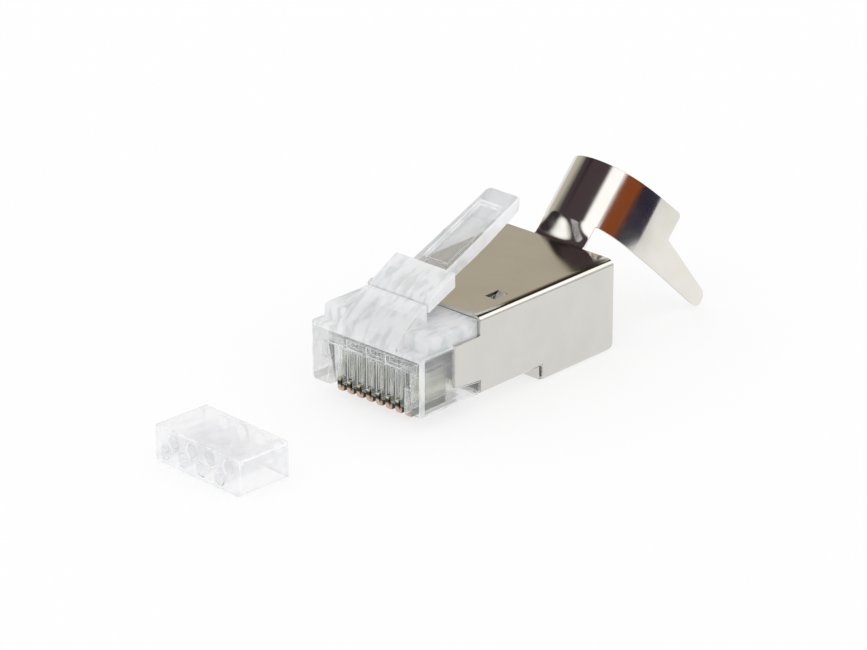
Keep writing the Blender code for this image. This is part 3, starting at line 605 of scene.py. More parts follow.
def gold_plated_bronze(name, colours, reach, body_shade):
    """Phosphor bronze strip, stamped and gold flashed: warm, with sheared flanks, and painted shade just above
    the gold.

    The gold goes back to the station reach, and body_shade is the colour above the gilt edge.
    """
    made, tree = new_material(name)
    place = add_node(tree, "ShaderNodeTexCoord").outputs["Object"]
    # Shear marks run down a stamped flank; the real ones are finer, and are drawn 0.05 mm apart
    lines = add_node(tree, "ShaderNodeMapping", {"Scale": (1.0, 1.0, 0.1)}, {"Vector": place})
    grain = add_node(tree, "ShaderNodeTexNoise", {"Scale": per_metre(0.05), "Detail": 2.0},
                     {"Vector": lines.outputs[0]})
    rough = add_node(tree, "ShaderNodeMapRange", {"To Min": 0.19, "To Max": 0.27},
                     {"Value": grain.outputs["Fac"]})
    ripple = add_node(tree, "ShaderNodeBump", {"Strength": 0.1, "Distance": 0.02 * MM},
                      {"Height": grain.outputs["Fac"]})
    # The gold is flashed on the contact edge alone, the dark band just above it is painted shade for the
    # shadowed slit above each tip, then bright nickel. The stops are shares of the way from level -1 to level 3
    height = add_node(tree, "ShaderNodeSeparateXYZ", links={"Vector": place})
    share = add_node(tree, "ShaderNodeMapRange", {"From Min": z_at(-1.0) * MM, "From Max": z_at(3.0) * MM},
                     {"Value": height.outputs["Z"]})
    zones = [(0.22, colours.gold), (0.26, colours.contact_dull), (0.31, colours.contact_dull),
             (0.37, body_shade)]
    tone = add_node(tree, "ShaderNodeValToRGB", {"stops": zones}, {"Fac": share.outputs[0]})
    # A sheared flank is gilt only as far back as the bath crept round its front edge
    ungilt = add_node(tree, "ShaderNodeMapRange",
                      {"From Min": y_at(reach) * MM, "From Max": y_at(reach + 0.1) * MM},
                      {"Value": height.outputs["Y"]})
    # Behind the gilt part a flank is painted dark low down, as painted shade in the gaps between the blade tips,
    # and takes its body colour higher up
    ungilt_with_painted_shade = add_node(tree, "ShaderNodeValToRGB", {"stops": [(0.32, colours.contact_dull), (0.45, body_shade)]},
                    {"Fac": share.outputs[0]})
    mixed = add_node(tree, "ShaderNodeMix", {"data_type": "RGBA"},
                     {"Factor": ungilt.outputs[0], 6: tone.outputs[0], 7: ungilt_with_painted_shade.outputs[0]})
    shader = add_node(tree, "ShaderNodeBsdfPrincipled", {"Metallic": 1.0},
                      {"Base Color": mixed.outputs[2], "Roughness": rough.outputs[0],
                       "Normal": ripple.outputs[0]})
    finish_material(tree, shader)
    return made


def clear_polycarbonate(name, shade, marks, smoothest, roughest, wave, clearness, body):
    """Injection-moulded clear polycarbonate: glassy skin with slow flow waves and a faint haze.

    wave is the strength of the flow waves, clearness the share of light that bends through the body,
    and body what is left once the plainly see-through share is taken off.
    """
    made, tree = new_material(name)
    place = add_node(tree, "ShaderNodeTexCoord").outputs["Object"]
    flow = add_node(tree, "ShaderNodeTexNoise", {"Scale": per_metre(1.6), "Detail": 2.0, "Distortion": 0.4},
                    {"Vector": place})
    haze = add_node(tree, "ShaderNodeTexNoise", {"Scale": per_metre(0.5), "Detail": 3.0}, {"Vector": place})
    rough = add_node(tree, "ShaderNodeMapRange",
                     {"From Min": 0.3, "From Max": 0.7, "To Min": smoothest, "To Max": roughest},
                     {"Value": haze.outputs["Fac"]})
    ripple = add_node(tree, "ShaderNodeBump", {"Strength": wave, "Distance": 0.1 * MM},
                      {"Height": flow.outputs["Fac"]})
    # Cloudy flow marks, where the melt folded over itself, run along the moulding from its gate
    streak = add_node(tree, "ShaderNodeMapping", {"Scale": (1.0, 0.4, 0.4)}, {"Vector": place})
    cloud = add_node(tree, "ShaderNodeTexNoise",
                     {"Scale": per_metre(0.7), "Detail": 2.0, "Roughness": 0.5, "Distortion": 0.3},
                     {"Vector": streak.outputs[0]})
    tone = add_node(tree, "ShaderNodeValToRGB", {"stops": [(0.36, marks), (0.50, shade), (0.64, (1, 1, 1))]},
                    {"Fac": cloud.outputs["Fac"]})
    shader = add_node(tree, "ShaderNodeBsdfPrincipled",
                      {"IOR": 1.5, "Transmission Weight": clearness, "Alpha": body},
                      {"Base Color": tone.outputs[0], "Roughness": rough.outputs[0],
                       "Normal": ripple.outputs[0]})
    finish_material(tree, shader)
    return made


def pale_floor(colours):
    """Sprayed pale board: matt and even, with the faintest mottle, and near white to the camera."""
    made, tree = new_material("sprayed_pale_board")
    place = add_node(tree, "ShaderNodeTexCoord").outputs["Object"]
    mottle = add_node(tree, "ShaderNodeTexNoise", {"Scale": per_metre(40.0), "Detail": 2.0},
                      {"Vector": place})
    rough = add_node(tree, "ShaderNodeMapRange", {"To Min": 0.85, "To Max": 0.95},
                     {"Value": mottle.outputs["Fac"]})
    board = add_node(tree, "ShaderNodeBsdfPrincipled",
                     {"Base Color": (*colours.floor, 1), "Specular IOR Level": 0.0},
                     {"Roughness": rough.outputs[0]})
    # White is laid over the board and its shadow: 0.72 of it for the camera, 0.8 for metal that
    # mirrors the board, and all of it for light that comes through clear plastic
    path = add_node(tree, "ShaderNodeLightPath")
    seen = add_node(tree, "ShaderNodeMath", {"operation": "MULTIPLY", 1: 0.72},
                    {0: path.outputs["Is Camera Ray"]})
    mirrored = add_node(tree, "ShaderNodeMath", {"operation": "MULTIPLY_ADD", 1: 0.8},
                        {0: path.outputs["Is Glossy Ray"], 2: seen.outputs[0]})
    through = add_node(tree, "ShaderNodeMath", {"operation": "MAXIMUM"},
                       {0: path.outputs["Is Transmission Ray"], 1: mirrored.outputs[0]})
    white = add_node(tree, "ShaderNodeEmission", {"Color": (1, 1, 1, 1), "Strength": 1.0})
    shader = add_node(tree, "ShaderNodeMixShader",
                      links={0: through.outputs[0], 1: board.outputs[0], 2: white.outputs[0]})
    finish_material(tree, shader)
    return made


def shared_material(name, make, *values):
    """A material that several operators use, made by the first of them."""
    return bpy.data.materials.get(name) or make(*values)


def nickel(context):
    """Nickel plate of the folded sheet, the same on shield and collar."""
    return shared_material("nickel_plated_rolled_sheet", nickel_plated_sheet, context.scene.plug_colours)


def plastics(context):
    """The mould's polished faces, its spark-finished faces, and a painted highlight: a whiter skin on rounded
    edges.
    """
    colours = context.scene.plug_colours
    # The denoiser takes a surface below a roughness of about 0.27 for a mirror, and leaves specks where
    # a pattern crosses that value, so each finish stays wholly below or above it
    kinds = [("polished_moulded_polycarbonate", 0.03, 0.08, 0.08, 0.66, 0.42),
             ("frosted_moulded_polycarbonate", 0.28, 0.4, 0.04, 0.05, 0.8),
             # The last finish is a painted highlight: a whiter, less clear skin on the small rounded edges,
             # standing for the light they catch
             ("bright_moulded_edges", 0.1, 0.2, 0.02, 0.0, 0.8)]
    made = []
    for name, *values in kinds:
        made.append(shared_material(name, clear_polycarbonate, name, colours.plastic, colours.flow_marks,
                                    *values))
    return made


def rounded(normal):
    """Whether a face belongs to a rounding between two walls: it looks sideways, but along no axis."""
    return max(abs(part) for part in normal) < 0.99 and abs(normal.x) > 0.1


# Pieces

def on_top(middle):
    """Whether a place lies in the shield's flat top plate."""
    return middle.z > TOP_Z - NEAR


def shield_half(size):
    """The right half of the folded sheet, bent from the middle of the top plate outwards."""
    shape = bmesh.new()
    rows = [shape.verts.new((0, y, TOP_Z))
            for y in (y_at(size.side_station), y_at(size.step_station), SHIELD_REAR)]
    spine = [shape.edges.new(pair) for pair in zip(rows, rows[1:])]
    inner = HALF_WIDTH - size.fold_radius
    # The plate dips a little before the tight fold, as a pressed sheet does
    widening = size.dip_radius - size.fold_radius
    flat = inner - widening * math.sin(size.dip)
    bend_z = TOP_Z - size.dip_radius + widening * math.cos(size.dip)
    edges = row_edges(extrude_edges(shape, spine, (flat, 0, 0)))
    edges = row_edges(spin_edges(shape, edges, (flat, 0, TOP_Z - size.dip_radius), size.dip, size.dip_steps))
    edges = row_edges(spin_edges(shape, edges, (inner, 0, bend_z), math.pi / 2 - size.dip, size.fold_steps))
    lower = z_at(size.fold_radius)
    edges = row_edges(extrude_edges(shape, edges, (0, 0, lower - bend_z)))
    step = y_at(size.step_station)
    front = [edge for edge in edges if min(vert.co.y for vert in edge.verts) < step - NEAR]
    rear = [edge for edge in edges if edge not in front]
    front = row_edges(spin_edges(shape, front, (inner, 0, lower), math.pi / 2, size.fold_steps))
    extrude_edges(shape, front, (-inner, 0, 0))
    rear = row_edges(extrude_edges(shape, rear, (0, 0, size.fold_radius - lower)))
    rear = row_edges(spin_edges(shape, rear, (inner, 0, size.fold_radius), math.pi / 2, size.fold_steps))
    extrude_edges(shape, rear, (-inner, 0, 0))
    wall = []
    for edge in shape.edges:
        ends = [vert.co for vert in edge.verts]
        on_step = all(abs(end.y - step) < WELD and abs(end.z - FRONT_BASE) < WELD for end in ends)
        if on_step and abs(ends[0].x - ends[1].x) > size.fold_radius:
            wall.append(edge)
    extrude_edges(shape, wall, (0, 0, -FRONT_BASE))
    bmesh.ops.remove_doubles(shape, verts=shape.verts, dist=WELD)
    return shape


def trim_shield_front(shape, size):
    """Cut the open front: a short top plate, low side plates and the open rails."""
    top_y = y_at(size.top_station)
    side_z = z_at(size.side_step_level)
    cut(shape, (0, top_y, 0), (0, 1, 0))
    cut(shape, (0, 0, side_z), (0, 0, 1), lambda middle: middle.y < top_y)
    drop(shape, lambda middle: middle.y < top_y and middle.z > side_z)
    rail_y = y_at(size.rail_station)
    front = Vector((0, y_at(size.side_station), z_at(size.rail_front_level)))
    rear = Vector((0, rail_y, z_at(size.rail_rear_level)))
    run = rear - front
    below = Vector((0, run.z, -run.y))
    cut(shape, (0, rail_y, 0), (0, 1, 0))
    cut(shape, front, below, lambda middle: middle.y < rail_y)
    drop(shape, lambda middle: middle.y < rail_y and (middle - front).dot(below) > 0)


def trim_shield_rear(shape, size):
    """Round the lower rear corner, trim the upper one and open the relief slit by the step."""
    centre = Vector((0, SHIELD_REAR - size.corner_radius, size.corner_radius))
    # Planes every 10 degrees round the corner, from under it to behind it
    for degrees in range(-80, 0, 10):
        outward = Vector((0, math.cos(math.radians(degrees)), math.sin(math.radians(degrees))))
        cut(shape, centre + outward * size.corner_radius, outward, clear_outer=True)
    outward = Vector((1, 1, 1)).normalized()
    corner = Vector((HALF_WIDTH, SHIELD_REAR, TOP_Z))
    cut(shape, corner - outward * size.corner_trim, outward, clear_outer=True)
    step = y_at(size.step_station)
    slit_x = HALF_WIDTH - size.fold_radius
    low = FRONT_BASE + size.fold_radius
    cut(shape, (0, step + size.relief, 0), (0, 1, 0), lambda middle: middle.z < low)
    cut(shape, (0, 0, FRONT_BASE), (0, 0, 1), lambda middle: step < middle.y < step + size.relief)
    drop(shape, lambda middle: (step < middle.y < step + size.relief and middle.z < FRONT_BASE
                                and middle.x > slit_x))


def lance_barb(shape, size):
    """Cut a barb out of the top plate on three sides and press its free end down."""
    left, right = size.place - size.width / 2, size.place + size.width / 2
    front, rear = y_at(size.station), y_at(size.station + size.window)
    inner_left, inner_right, inner_front = left + size.slit, right - size.slit, front + size.mouth
    for x in (left, inner_left, inner_right, right):
        cut(shape, (x, 0, 0), (1, 0, 0), on_top)
    for y in (front, inner_front, (front + rear) / 2, rear - size.slit, rear):
        cut(shape, (0, y, 0), (0, 1, 0), on_top)
    window = lambda middle: on_top(middle) and left < middle.x < right and front < middle.y < rear
    barb = lambda middle: inner_left < middle.x < inner_right and middle.y > inner_front
    drop(shape, lambda middle: window(middle) and not barb(middle))
    # The barb curls down more and more steeply towards its tip
    for vert in shape.verts:
        on_barb = inner_left - WELD < vert.co.x < inner_right + WELD and on_top(vert.co)
        if on_barb and inner_front - WELD < vert.co.y < rear - WELD:
            share = (rear - vert.co.y) / (rear - inner_front)
            vert.co.z -= size.dip * share ** 1.5


class PLUG_OT_shield(bpy.types.Operator):
    """Bend the shield from its flat sheet, cut its edges and lance its barbs"""
    bl_idname = "plug.shield"
    bl_label = "Shield"

    def execute(self, context):
        size = in_mm(context.scene.plug_shield)
        barb = in_mm(context.scene.plug_barb)
        collar = in_mm(context.scene.plug_collar)
        shape = shield_half(size)
        trim_shield_front(shape, size)
        trim_shield_rear(shape, size)
        lance_barb(shape, barb)
        half = collar.neck_width / 2
        cut(shape, (half, 0, 0), (1, 0, 0), on_top)
        geometry = list(shape.verts) + list(shape.edges) + list(shape.faces)
        bmesh.ops.mirror(shape, geom=geometry, axis="X", merge_dist=WELD)
        underside = lambda middle: middle.z < FRONT_BASE + NEAR
        for x in (size.seam_x - size.seam_width / 2, size.seam_x + size.seam_width / 2):
            cut(shape, (x, 0, 0), (1, 0, 0), underside)
        drop(shape, lambda middle: abs(middle.x - size.seam_x) < size.seam_width / 2 and underside(middle))
        bmesh.ops.remove_doubles(shape, verts=shape.verts, dist=WELD)
        bmesh.ops.dissolve_limit(shape, angle_limit=math.radians(1), verts=shape.verts, edges=shape.edges)
        bmesh.ops.recalc_face_normals(shape, faces=shape.faces)
        top = max(shape.faces, key=lambda face: face.calc_area() * on_top(face.calc_center_median()))
        if top.normal.z < 0:
            bmesh.ops.reverse_faces(shape, faces=shape.faces)
        # Only the cut edges in the band of the top plate with the barbs are dark bare steel, darkened as
        # painted shade inside the barbs' holes; the other cut edges keep the nickel
        margin = 0.3
        near, far = y_at(barb.station - margin), y_at(barb.station + barb.window + margin)
        for y in (near, far):
            cut(shape, (0, y, 0), (0, 1, 0), on_top)
        barb_band_painted_shade = lambda middle, normal: 0 if middle.z > TOP_Z - 1 and near < middle.y < far else 2
        finishes = [nickel(context), barb_edge_steel_and_shade(context.scene.plug_colours), nickel(context)]
        item = make_piece("folded_shield", shape, finishes, thickness=size.sheet,
                          edge=size.edge_softness, finish=barb_band_painted_shade, rim=1)
        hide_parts("shield")
        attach(item, "plug")
        return {"FINISHED"}


def collar_frame(size):
    """The collar's own axes: its middle, along its tube, and out through its crown."""
    forward = Vector((0, math.cos(size.tilt), math.sin(size.tilt)))
    crown = Vector((0, -math.sin(size.tilt), math.cos(size.tilt)))
    return Vector((0, y_at(size.station), z_at(size.level))), forward, crown


def roll_lengths(size, middle_radius):
    """Lengths of the blank in the tight roll and in the wider bend that leads into an arm."""
    return middle_radius * size.tight_turn, size.wide_radius * (math.pi / 2 - size.flare - size.tight_turn)


def rolled(size, middle_radius, across, along):
    """Where a point of the flat blank lands once the collar is rolled."""
    tight, wide = roll_lengths(size, middle_radius)
    first = min(abs(across), tight) / middle_radius
    second = size.tight_turn + min(max(abs(across) - tight, 0.0), wide) / size.wide_radius
    straight = max(abs(across) - tight - wide, 0.0)
    x = (middle_radius * math.sin(first) + straight * math.sin(size.flare)
         + size.wide_radius * (math.sin(second) - math.sin(size.tight_turn)))
    height = (middle_radius * math.cos(first) - straight * math.cos(size.flare)
              + size.wide_radius * (math.cos(second) - math.cos(size.tight_turn)))
    middle, forward, crown = collar_frame(size)
    return middle + Vector((math.copysign(x, across), 0, 0)) + crown * height + forward * along


def neck_point(start, end, forward, share):
    """A point of the neck, which runs level out of the shield and along the tube into the collar."""
    span = (end - start).length
    near_start = start + Vector((0, span * NECK_FROM_SHIELD, 0))
    near_end = end - forward * span * NECK_FROM_COLLAR
    return (start * (1 - share) ** 3 + near_start * 3 * share * (1 - share) ** 2
            + near_end * 3 * share ** 2 * (1 - share) + end * share ** 3)


def collar_blank(size, middle_radius, neck_edge, neck_length):
    """The stamped flat blank: X runs round the collar, Y along its tube."""
    roll = sum(roll_lengths(size, middle_radius))
    arm = roll + size.arm
    tip = arm + size.tongue
    lean = size.tongue_lean
    inner_tip = size.tongue_tip - lean
    back = size.depth
    shape = bmesh.new()
    outline = [(-neck_edge, -neck_length), (neck_edge, -neck_length), (neck_edge, 0), (arm, 0),
               (tip, -lean), (tip, inner_tip), (arm, size.split), (arm, back),
               (-arm, back), (-tip, back + lean), (-tip, back - inner_tip),
               (-arm, back - size.split), (-arm, 0), (-neck_edge, 0)]
    flat_face(shape, [(x, y, 0) for x, y in outline])
    shape.verts.ensure_lookup_table()
    rounding = [(size.tip_radius, (4, 5, 9, 10)), (size.corner_radius, (7, 12)),
                (size.notch_radius, (2, 6, 11, 13))]
    marked = [(radius, [shape.verts[place] for place in places]) for radius, places in rounding]
    for radius, verts in marked:
        bmesh.ops.bevel(shape, geom=verts, offset=radius, segments=6, profile=0.5, affect="VERTICES",
                        material=-1)
    columns = round(roll / middle_radius / size.roll_step)
    for number in range(-columns, columns + 1):
        cut(shape, (roll * number / columns, 0, 0), (1, 0, 0))
    for place in (-neck_edge, neck_edge, -arm, arm):
        cut(shape, (place, 0, 0), (1, 0, 0))
    rows = 12
    for number in range(1, rows):
        cut(shape, (0, -neck_length * number / rows, 0), (0, 1, 0))
    for along in (0, back / 3, back * 2 / 3):
        cut(shape, (0, along, 0), (0, 1, 0))
    return shape


class PLUG_OT_collar(bpy.types.Operator):
    """Stamp the collar's blank, roll it round the cable's line and bend its neck down to the shield"""
    bl_idname = "plug.collar"
    bl_label = "Cable collar"

    def execute(self, context):
        size = in_mm(context.scene.plug_collar)
        shield = in_mm(context.scene.plug_shield)
        middle_radius = size.radius - shield.sheet / 2
        neck_edge = middle_radius * math.asin(size.neck_width / 2 / middle_radius)
        foot = Vector((0, SHIELD_REAR, TOP_Z - shield.sheet / 2))
        top = rolled(size, middle_radius, 0, 0)
        neck_length = (top - foot).length * NECK_SLACK
        shape = collar_blank(size, middle_radius, neck_edge, neck_length)
        # The roll's columns may pass close by a corner's rounding, and such slivers are welded
        sliver = 0.04
        bmesh.ops.remove_doubles(shape, verts=shape.verts, dist=sliver)
        forward = collar_frame(size)[1]
        for vert in shape.verts:
            across, along = vert.co.x, vert.co.y
            if along >= -TOUCH or abs(across) > neck_edge + size.notch_radius:
                vert.co = rolled(size, middle_radius, across, along)
            else:
                start = foot + Vector((size.neck_width / 2 * across / neck_edge, 0, 0))
                end = rolled(size, middle_radius, across, 0)
                vert.co = neck_point(start, end, forward, 1 + along / neck_length)
        bmesh.ops.recalc_face_normals(shape, faces=shape.faces)
        item = make_piece("rolled_collar", shape, [nickel(context)],
                          thickness=shield.sheet, offset=0.0, edge=shield.edge_softness)
        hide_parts("strain_relief_collar")
        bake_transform(item)
        return {"FINISHED"}


def core_limits(size, shield):
    """Half the width and the roof height of what slides into the shield."""
    wall = shield.sheet + size.fit_gap
    return HALF_WIDTH - wall, TOP_Z - wall


def housing_upper_block(size, shield):
    """The rounded block above the nose, up to the shield's top plate."""
    front = y_at(size.upper_station)
    half, roof = core_limits(size, shield)
    shape = block((-half, front, z_at(0)), (half, y_at(size.upper_rear_station), roof))
    top_or_front = lambda middle: middle.y < front + NEAR or middle.z > roof - NEAR
    lengthwise = lambda middle: middle.y < front + NEAR or abs(middle.x) > half - NEAR
    round_edges(shape, size.upper_radius, 6, "", lambda middle: top_or_front(middle) and lengthwise(middle))
    return shape


def housing_core(size, shield):
    """The part of the housing that slides into the shield."""
    half, roof = core_limits(size, shield)
    floor = shield.sheet + size.fit_gap
    step = y_at(shield.step_station) + floor
    overlap = 0.3
    front = y_at(size.upper_rear_station) - overlap
    rail = y_at(shield.rail_station) - size.fit_gap
    rear = y_at(size.rear_station)
    outline = [(front, z_at(0)), (rail, z_at(0)), (rail, z_at(floor)), (step, z_at(floor)), (step, floor),
               (rear, floor), (rear, roof), (front, roof)]
    shape = prism(outline, -half, half)
    round_edges(shape, shield.fold_radius - shield.sheet, 3, "y")
    return shape


def housing_nose(size, shield):
    """The full-width lower nose, flush with the shield's side plates, and the rails behind it."""
    side = y_at(shield.side_station) - size.fit_gap
    rail = y_at(shield.rail_station) - size.fit_gap
    outline = [(NOSE_Y, z_at(0)), (rail, z_at(0)), (rail, z_at(shield.rail_rear_level) - size.fit_gap),
               (side, z_at(shield.rail_front_level) - size.fit_gap), (side, z_at(shield.side_step_level)),
               (NOSE_Y, z_at(shield.side_step_level))]
    shape = prism(outline, -HALF_WIDTH, HALF_WIDTH)
    round_edges(shape, size.foot_radius, 6, "y", lambda middle: middle.z < z_at(0.1))
    round_edges(shape, size.nose_radius, 4, "", lambda middle: middle.y < NOSE_Y + NEAR)
    return shape


def housing_apron(size):
    """The sloped apron from the latch's hinge down to the nose's front."""
    half = LATCH_HIGH.x
    # The apron stands a hair behind the nose's front, so that the nose keeps one flat face
    front = NOSE_Y + 0.02
    rear = LATCH_LOW.y - HINGE_GAP
    ledge = 0.35
    outline = [(front, z_at(size.apron_level)), (rear, z_at(size.apron_level)), (rear, PAD_TOP),
               (rear - ledge, PAD_TOP), (front, z_at(size.apron_top))]
    shape = prism(outline, -half, half)
    turn = lambda middle: middle.y < NOSE_Y + 0.1 and middle.z > z_at(size.apron_level + 0.1)
    round_edges(shape, size.apron_radius, 6, "x", turn)
    return shape


def wire_hollows(size, shield):
    """The cavity for the cable's wires, a channel for each pair of them, and a window in front of it."""
    behind = y_at(size.rear_station) + PAST
    floor = shield.sheet + size.fit_gap + REAR_FLOOR
    cavity = [(y_at(CAVITY_FRONT), z_at(CAVITY_FLOOR)), (y_at(RAMP_TOP), z_at(CAVITY_FLOOR)),
              (y_at(RAMP_FOOT), floor), (behind, floor), (behind, z_at(CAVITY_ROOF)),
              (y_at(CAVITY_FRONT), z_at(CAVITY_ROOF))]
    hollows = [prism(cavity, -size.cavity_width / 2, size.cavity_width / 2)]
    for number in range(PAIRS):
        middle = (number - (PAIRS - 1) / 2) * 2 * PITCH
        half = PITCH - CHANNEL_WALL
        hollows.append(block((middle - half, y_at(CHANNEL_FRONT), z_at(CHANNEL_FLOOR)),
                             (middle + half, y_at(CHANNEL_REAR), z_at(CHANNEL_ROOF))))
        hollows.append(block((middle - WINDOW_LEFT, NOSE_Y - PAST, z_at(WINDOW_LOW)),
                             (middle + WINDOW_RIGHT, NOSE_Y + size.window_depth, z_at(WINDOW_HIGH))))
    return hollows


def comb_hollows(size, barb):
    """The opening of the contact comb, the notches at its ends, and the pockets under the barbs."""
    comb = (CONTACTS - 1) / 2 * PITCH + size.comb_side
    hollows = [block((-comb, NOSE_Y - PAST, -PAST), (comb, y_at(size.comb_depth), z_at(size.lintel_level)))]
    overlap = 0.05
    pocket_front = y_at(barb.station - POCKET_BEFORE)
    pocket_rear = y_at(barb.station + barb.window + POCKET_BEYOND)
    for side in (-1, 1):
        ends = sorted((side * (comb - overlap), side * (comb + NOTCH_WIDTH)))
        hollows.append(block((ends[0], NOSE_Y - PAST, z_at(NOTCH_LOW)),
                             (ends[1], y_at(NOTCH_DEPTH), z_at(NOTCH_HIGH))))
        middle = side * barb.place
        hollows.append(block((middle - POCKET_HALF, pocket_front, z_at(POCKET_FLOOR)),
                             (middle + POCKET_HALF, pocket_rear, TOP_Z)))
    return hollows


def contact_hollows(size):
    """The slot that holds each contact, and the groove in front of it."""
    hollows = []
    for number in range(CONTACTS):
        x = (number - (CONTACTS - 1) / 2) * PITCH
        slot = [(NOSE_Y, z_at(-PAST)), (y_at(SLOT_REAR), z_at(-PAST)), (y_at(SLOT_REAR), z_at(SLOT_TOP)),
                (y_at(SLOT_FRONT), z_at(SLOT_TOP)), (y_at(SLOT_FRONT), z_at(SLOT_LOW)),
                (NOSE_Y, z_at(SLOT_LOW))]
        hollows.append(prism(slot, x - SLOT_HALF, x + SLOT_HALF))
        half = size.groove_width / 2
        groove_rear = y_at(size.comb_depth + size.groove_depth)
        hollows.append(block((x - half, NOSE_Y, z_at(SLOT_LOW)),
                             (x + half, groove_rear, z_at(size.lintel_level))))
    return hollows


class PLUG_OT_housing(bpy.types.Operator):
    """Mould the clear housing: nose, rails, apron, comb, windows and wire cavity"""
    bl_idname = "plug.housing"
    bl_label = "Housing"

    def execute(self, context):
        size = in_mm(context.scene.plug_housing)
        shield = in_mm(context.scene.plug_shield)
        barb = in_mm(context.scene.plug_barb)
        joined = [housing_upper_block(size, shield), housing_nose(size, shield), housing_apron(size)]
        carved = wire_hollows(size, shield) + comb_hollows(size, barb) + contact_hollows(size)
        shape = combined(housing_core(size, shield), joined, carved)
        # The upper block and the apron are frosted above this level, as far as just inside the shield
        frosted_level, frosted_end = 4.4, size.upper_rear_station + 0.1
        cut(shape, (0, y_at(frosted_end), 0), (0, 1, 0))
        upper = lambda middle: middle.z > z_at(frosted_level) and middle.y < y_at(frosted_end)
        # Roundings take the whiter frosted finish, partly a real mould finish and partly a painted highlight
        # along the rounded corners
        finish = lambda middle, normal: int(rounded(normal) or upper(middle))
        # The small rounded edges take the painted highlight finish
        item = make_piece("clear_housing", shape, plastics(context),
                          edge=size.edge, sharp=30.0, finish=finish, edge_finish=2)
        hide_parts("housing")
        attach(item, "plug")
        return {"FINISHED"}


class PLUG_OT_latch(bpy.types.Operator):
    """Make the latch lever with softened moulded edges"""
    bl_idname = "plug.latch"
    bl_label = "Latch"

    def execute(self, context):
        size = in_mm(context.scene.plug_plastic)
        shape = cad_copy("latch_lever")
        channel = lambda middle: (y_at(LATCH_CHANNEL_FRONT) <= middle.y <= y_at(LATCH_CHANNEL_REAR)
                                  and abs(middle.x) <= LATCH_CHANNEL_HALF)
        finish = lambda middle, normal: int(not channel(middle))
        # The latch's small rounded edges take the painted highlight finish
        item = make_piece("clear_latch", shape, plastics(context),
                          edge=size.latch_edge, sharp=30.0, segments=3, finish=finish, edge_finish=2)
        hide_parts("latch_lever")
        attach(item, "latch")
        return {"FINISHED"}


class PLUG_OT_contacts(bpy.types.Operator):
    """Make the row of gold-plated contact blades"""
    bl_idname = "plug.contacts"
    bl_label = "Contacts"

    def execute(self, context):
        size = in_mm(context.scene.plug_contact)
        colours = context.scene.plug_colours
        gold = [gold_plated_bronze("gold_plated_stamped_bronze", colours, GILT_EDGE, colours.contact_body),
                gold_plated_bronze("sheared_bronze_flank", colours, GILT_FLANK, colours.contact_flank)]
        flank = lambda middle, normal: int(abs(normal.x) > 0.8)
        for number in range(1, size.count + 1):
            node = "contact_%d" % number
            item = make_piece("blade_%d" % number, cad_copy(node), gold,
                              edge=size.edge, sharp=30.0, finish=flank)
            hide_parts(node)
            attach(item, "plug")
        return {"FINISHED"}


class PLUG_OT_load_bar(bpy.types.Operator):
    """Make the load bar that lies in front of the plug"""
    bl_idname = "plug.load_bar"
    bl_label = "Load bar"

    def execute(self, context):
        size = in_mm(context.scene.plug_plastic)
        shape = cad_copy("load_bar")
        colours = context.scene.plug_colours
        plastic = clear_polycarbonate("milky_moulded_polycarbonate", colours.bar, colours.bar_marks,
                                      0.28, 0.4, 0.04, 0.0, 0.38)
        low, high = corners("load_bar")
        centre, half = (low + high) / 2, (high - low) / 2
        # An edge between two of the bar's outer sides has its middle in both of their planes
        outer = lambda middle: sum(abs(abs(middle[axis] - centre[axis]) - half[axis]) < NEAR
                                   for axis in range(3)) > 1
        round_edges(shape, size.bar_corner, 4, "", outer)
        # The bar's small rounded edges take the painted highlight finish
        item = make_piece("frosted_load_bar", shape, [plastic, plastics(context)[2]],
                          edge=size.bar_edge, sharp=30.0, edge_finish=1)
        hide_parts("load_bar")
        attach(item, "plug")
        return {"FINISHED"}


def boards(rows):
    """Ramp stops of a round of boards."""
    return [((degrees + 180) / 360, linear(code)) for degrees, code in rows]


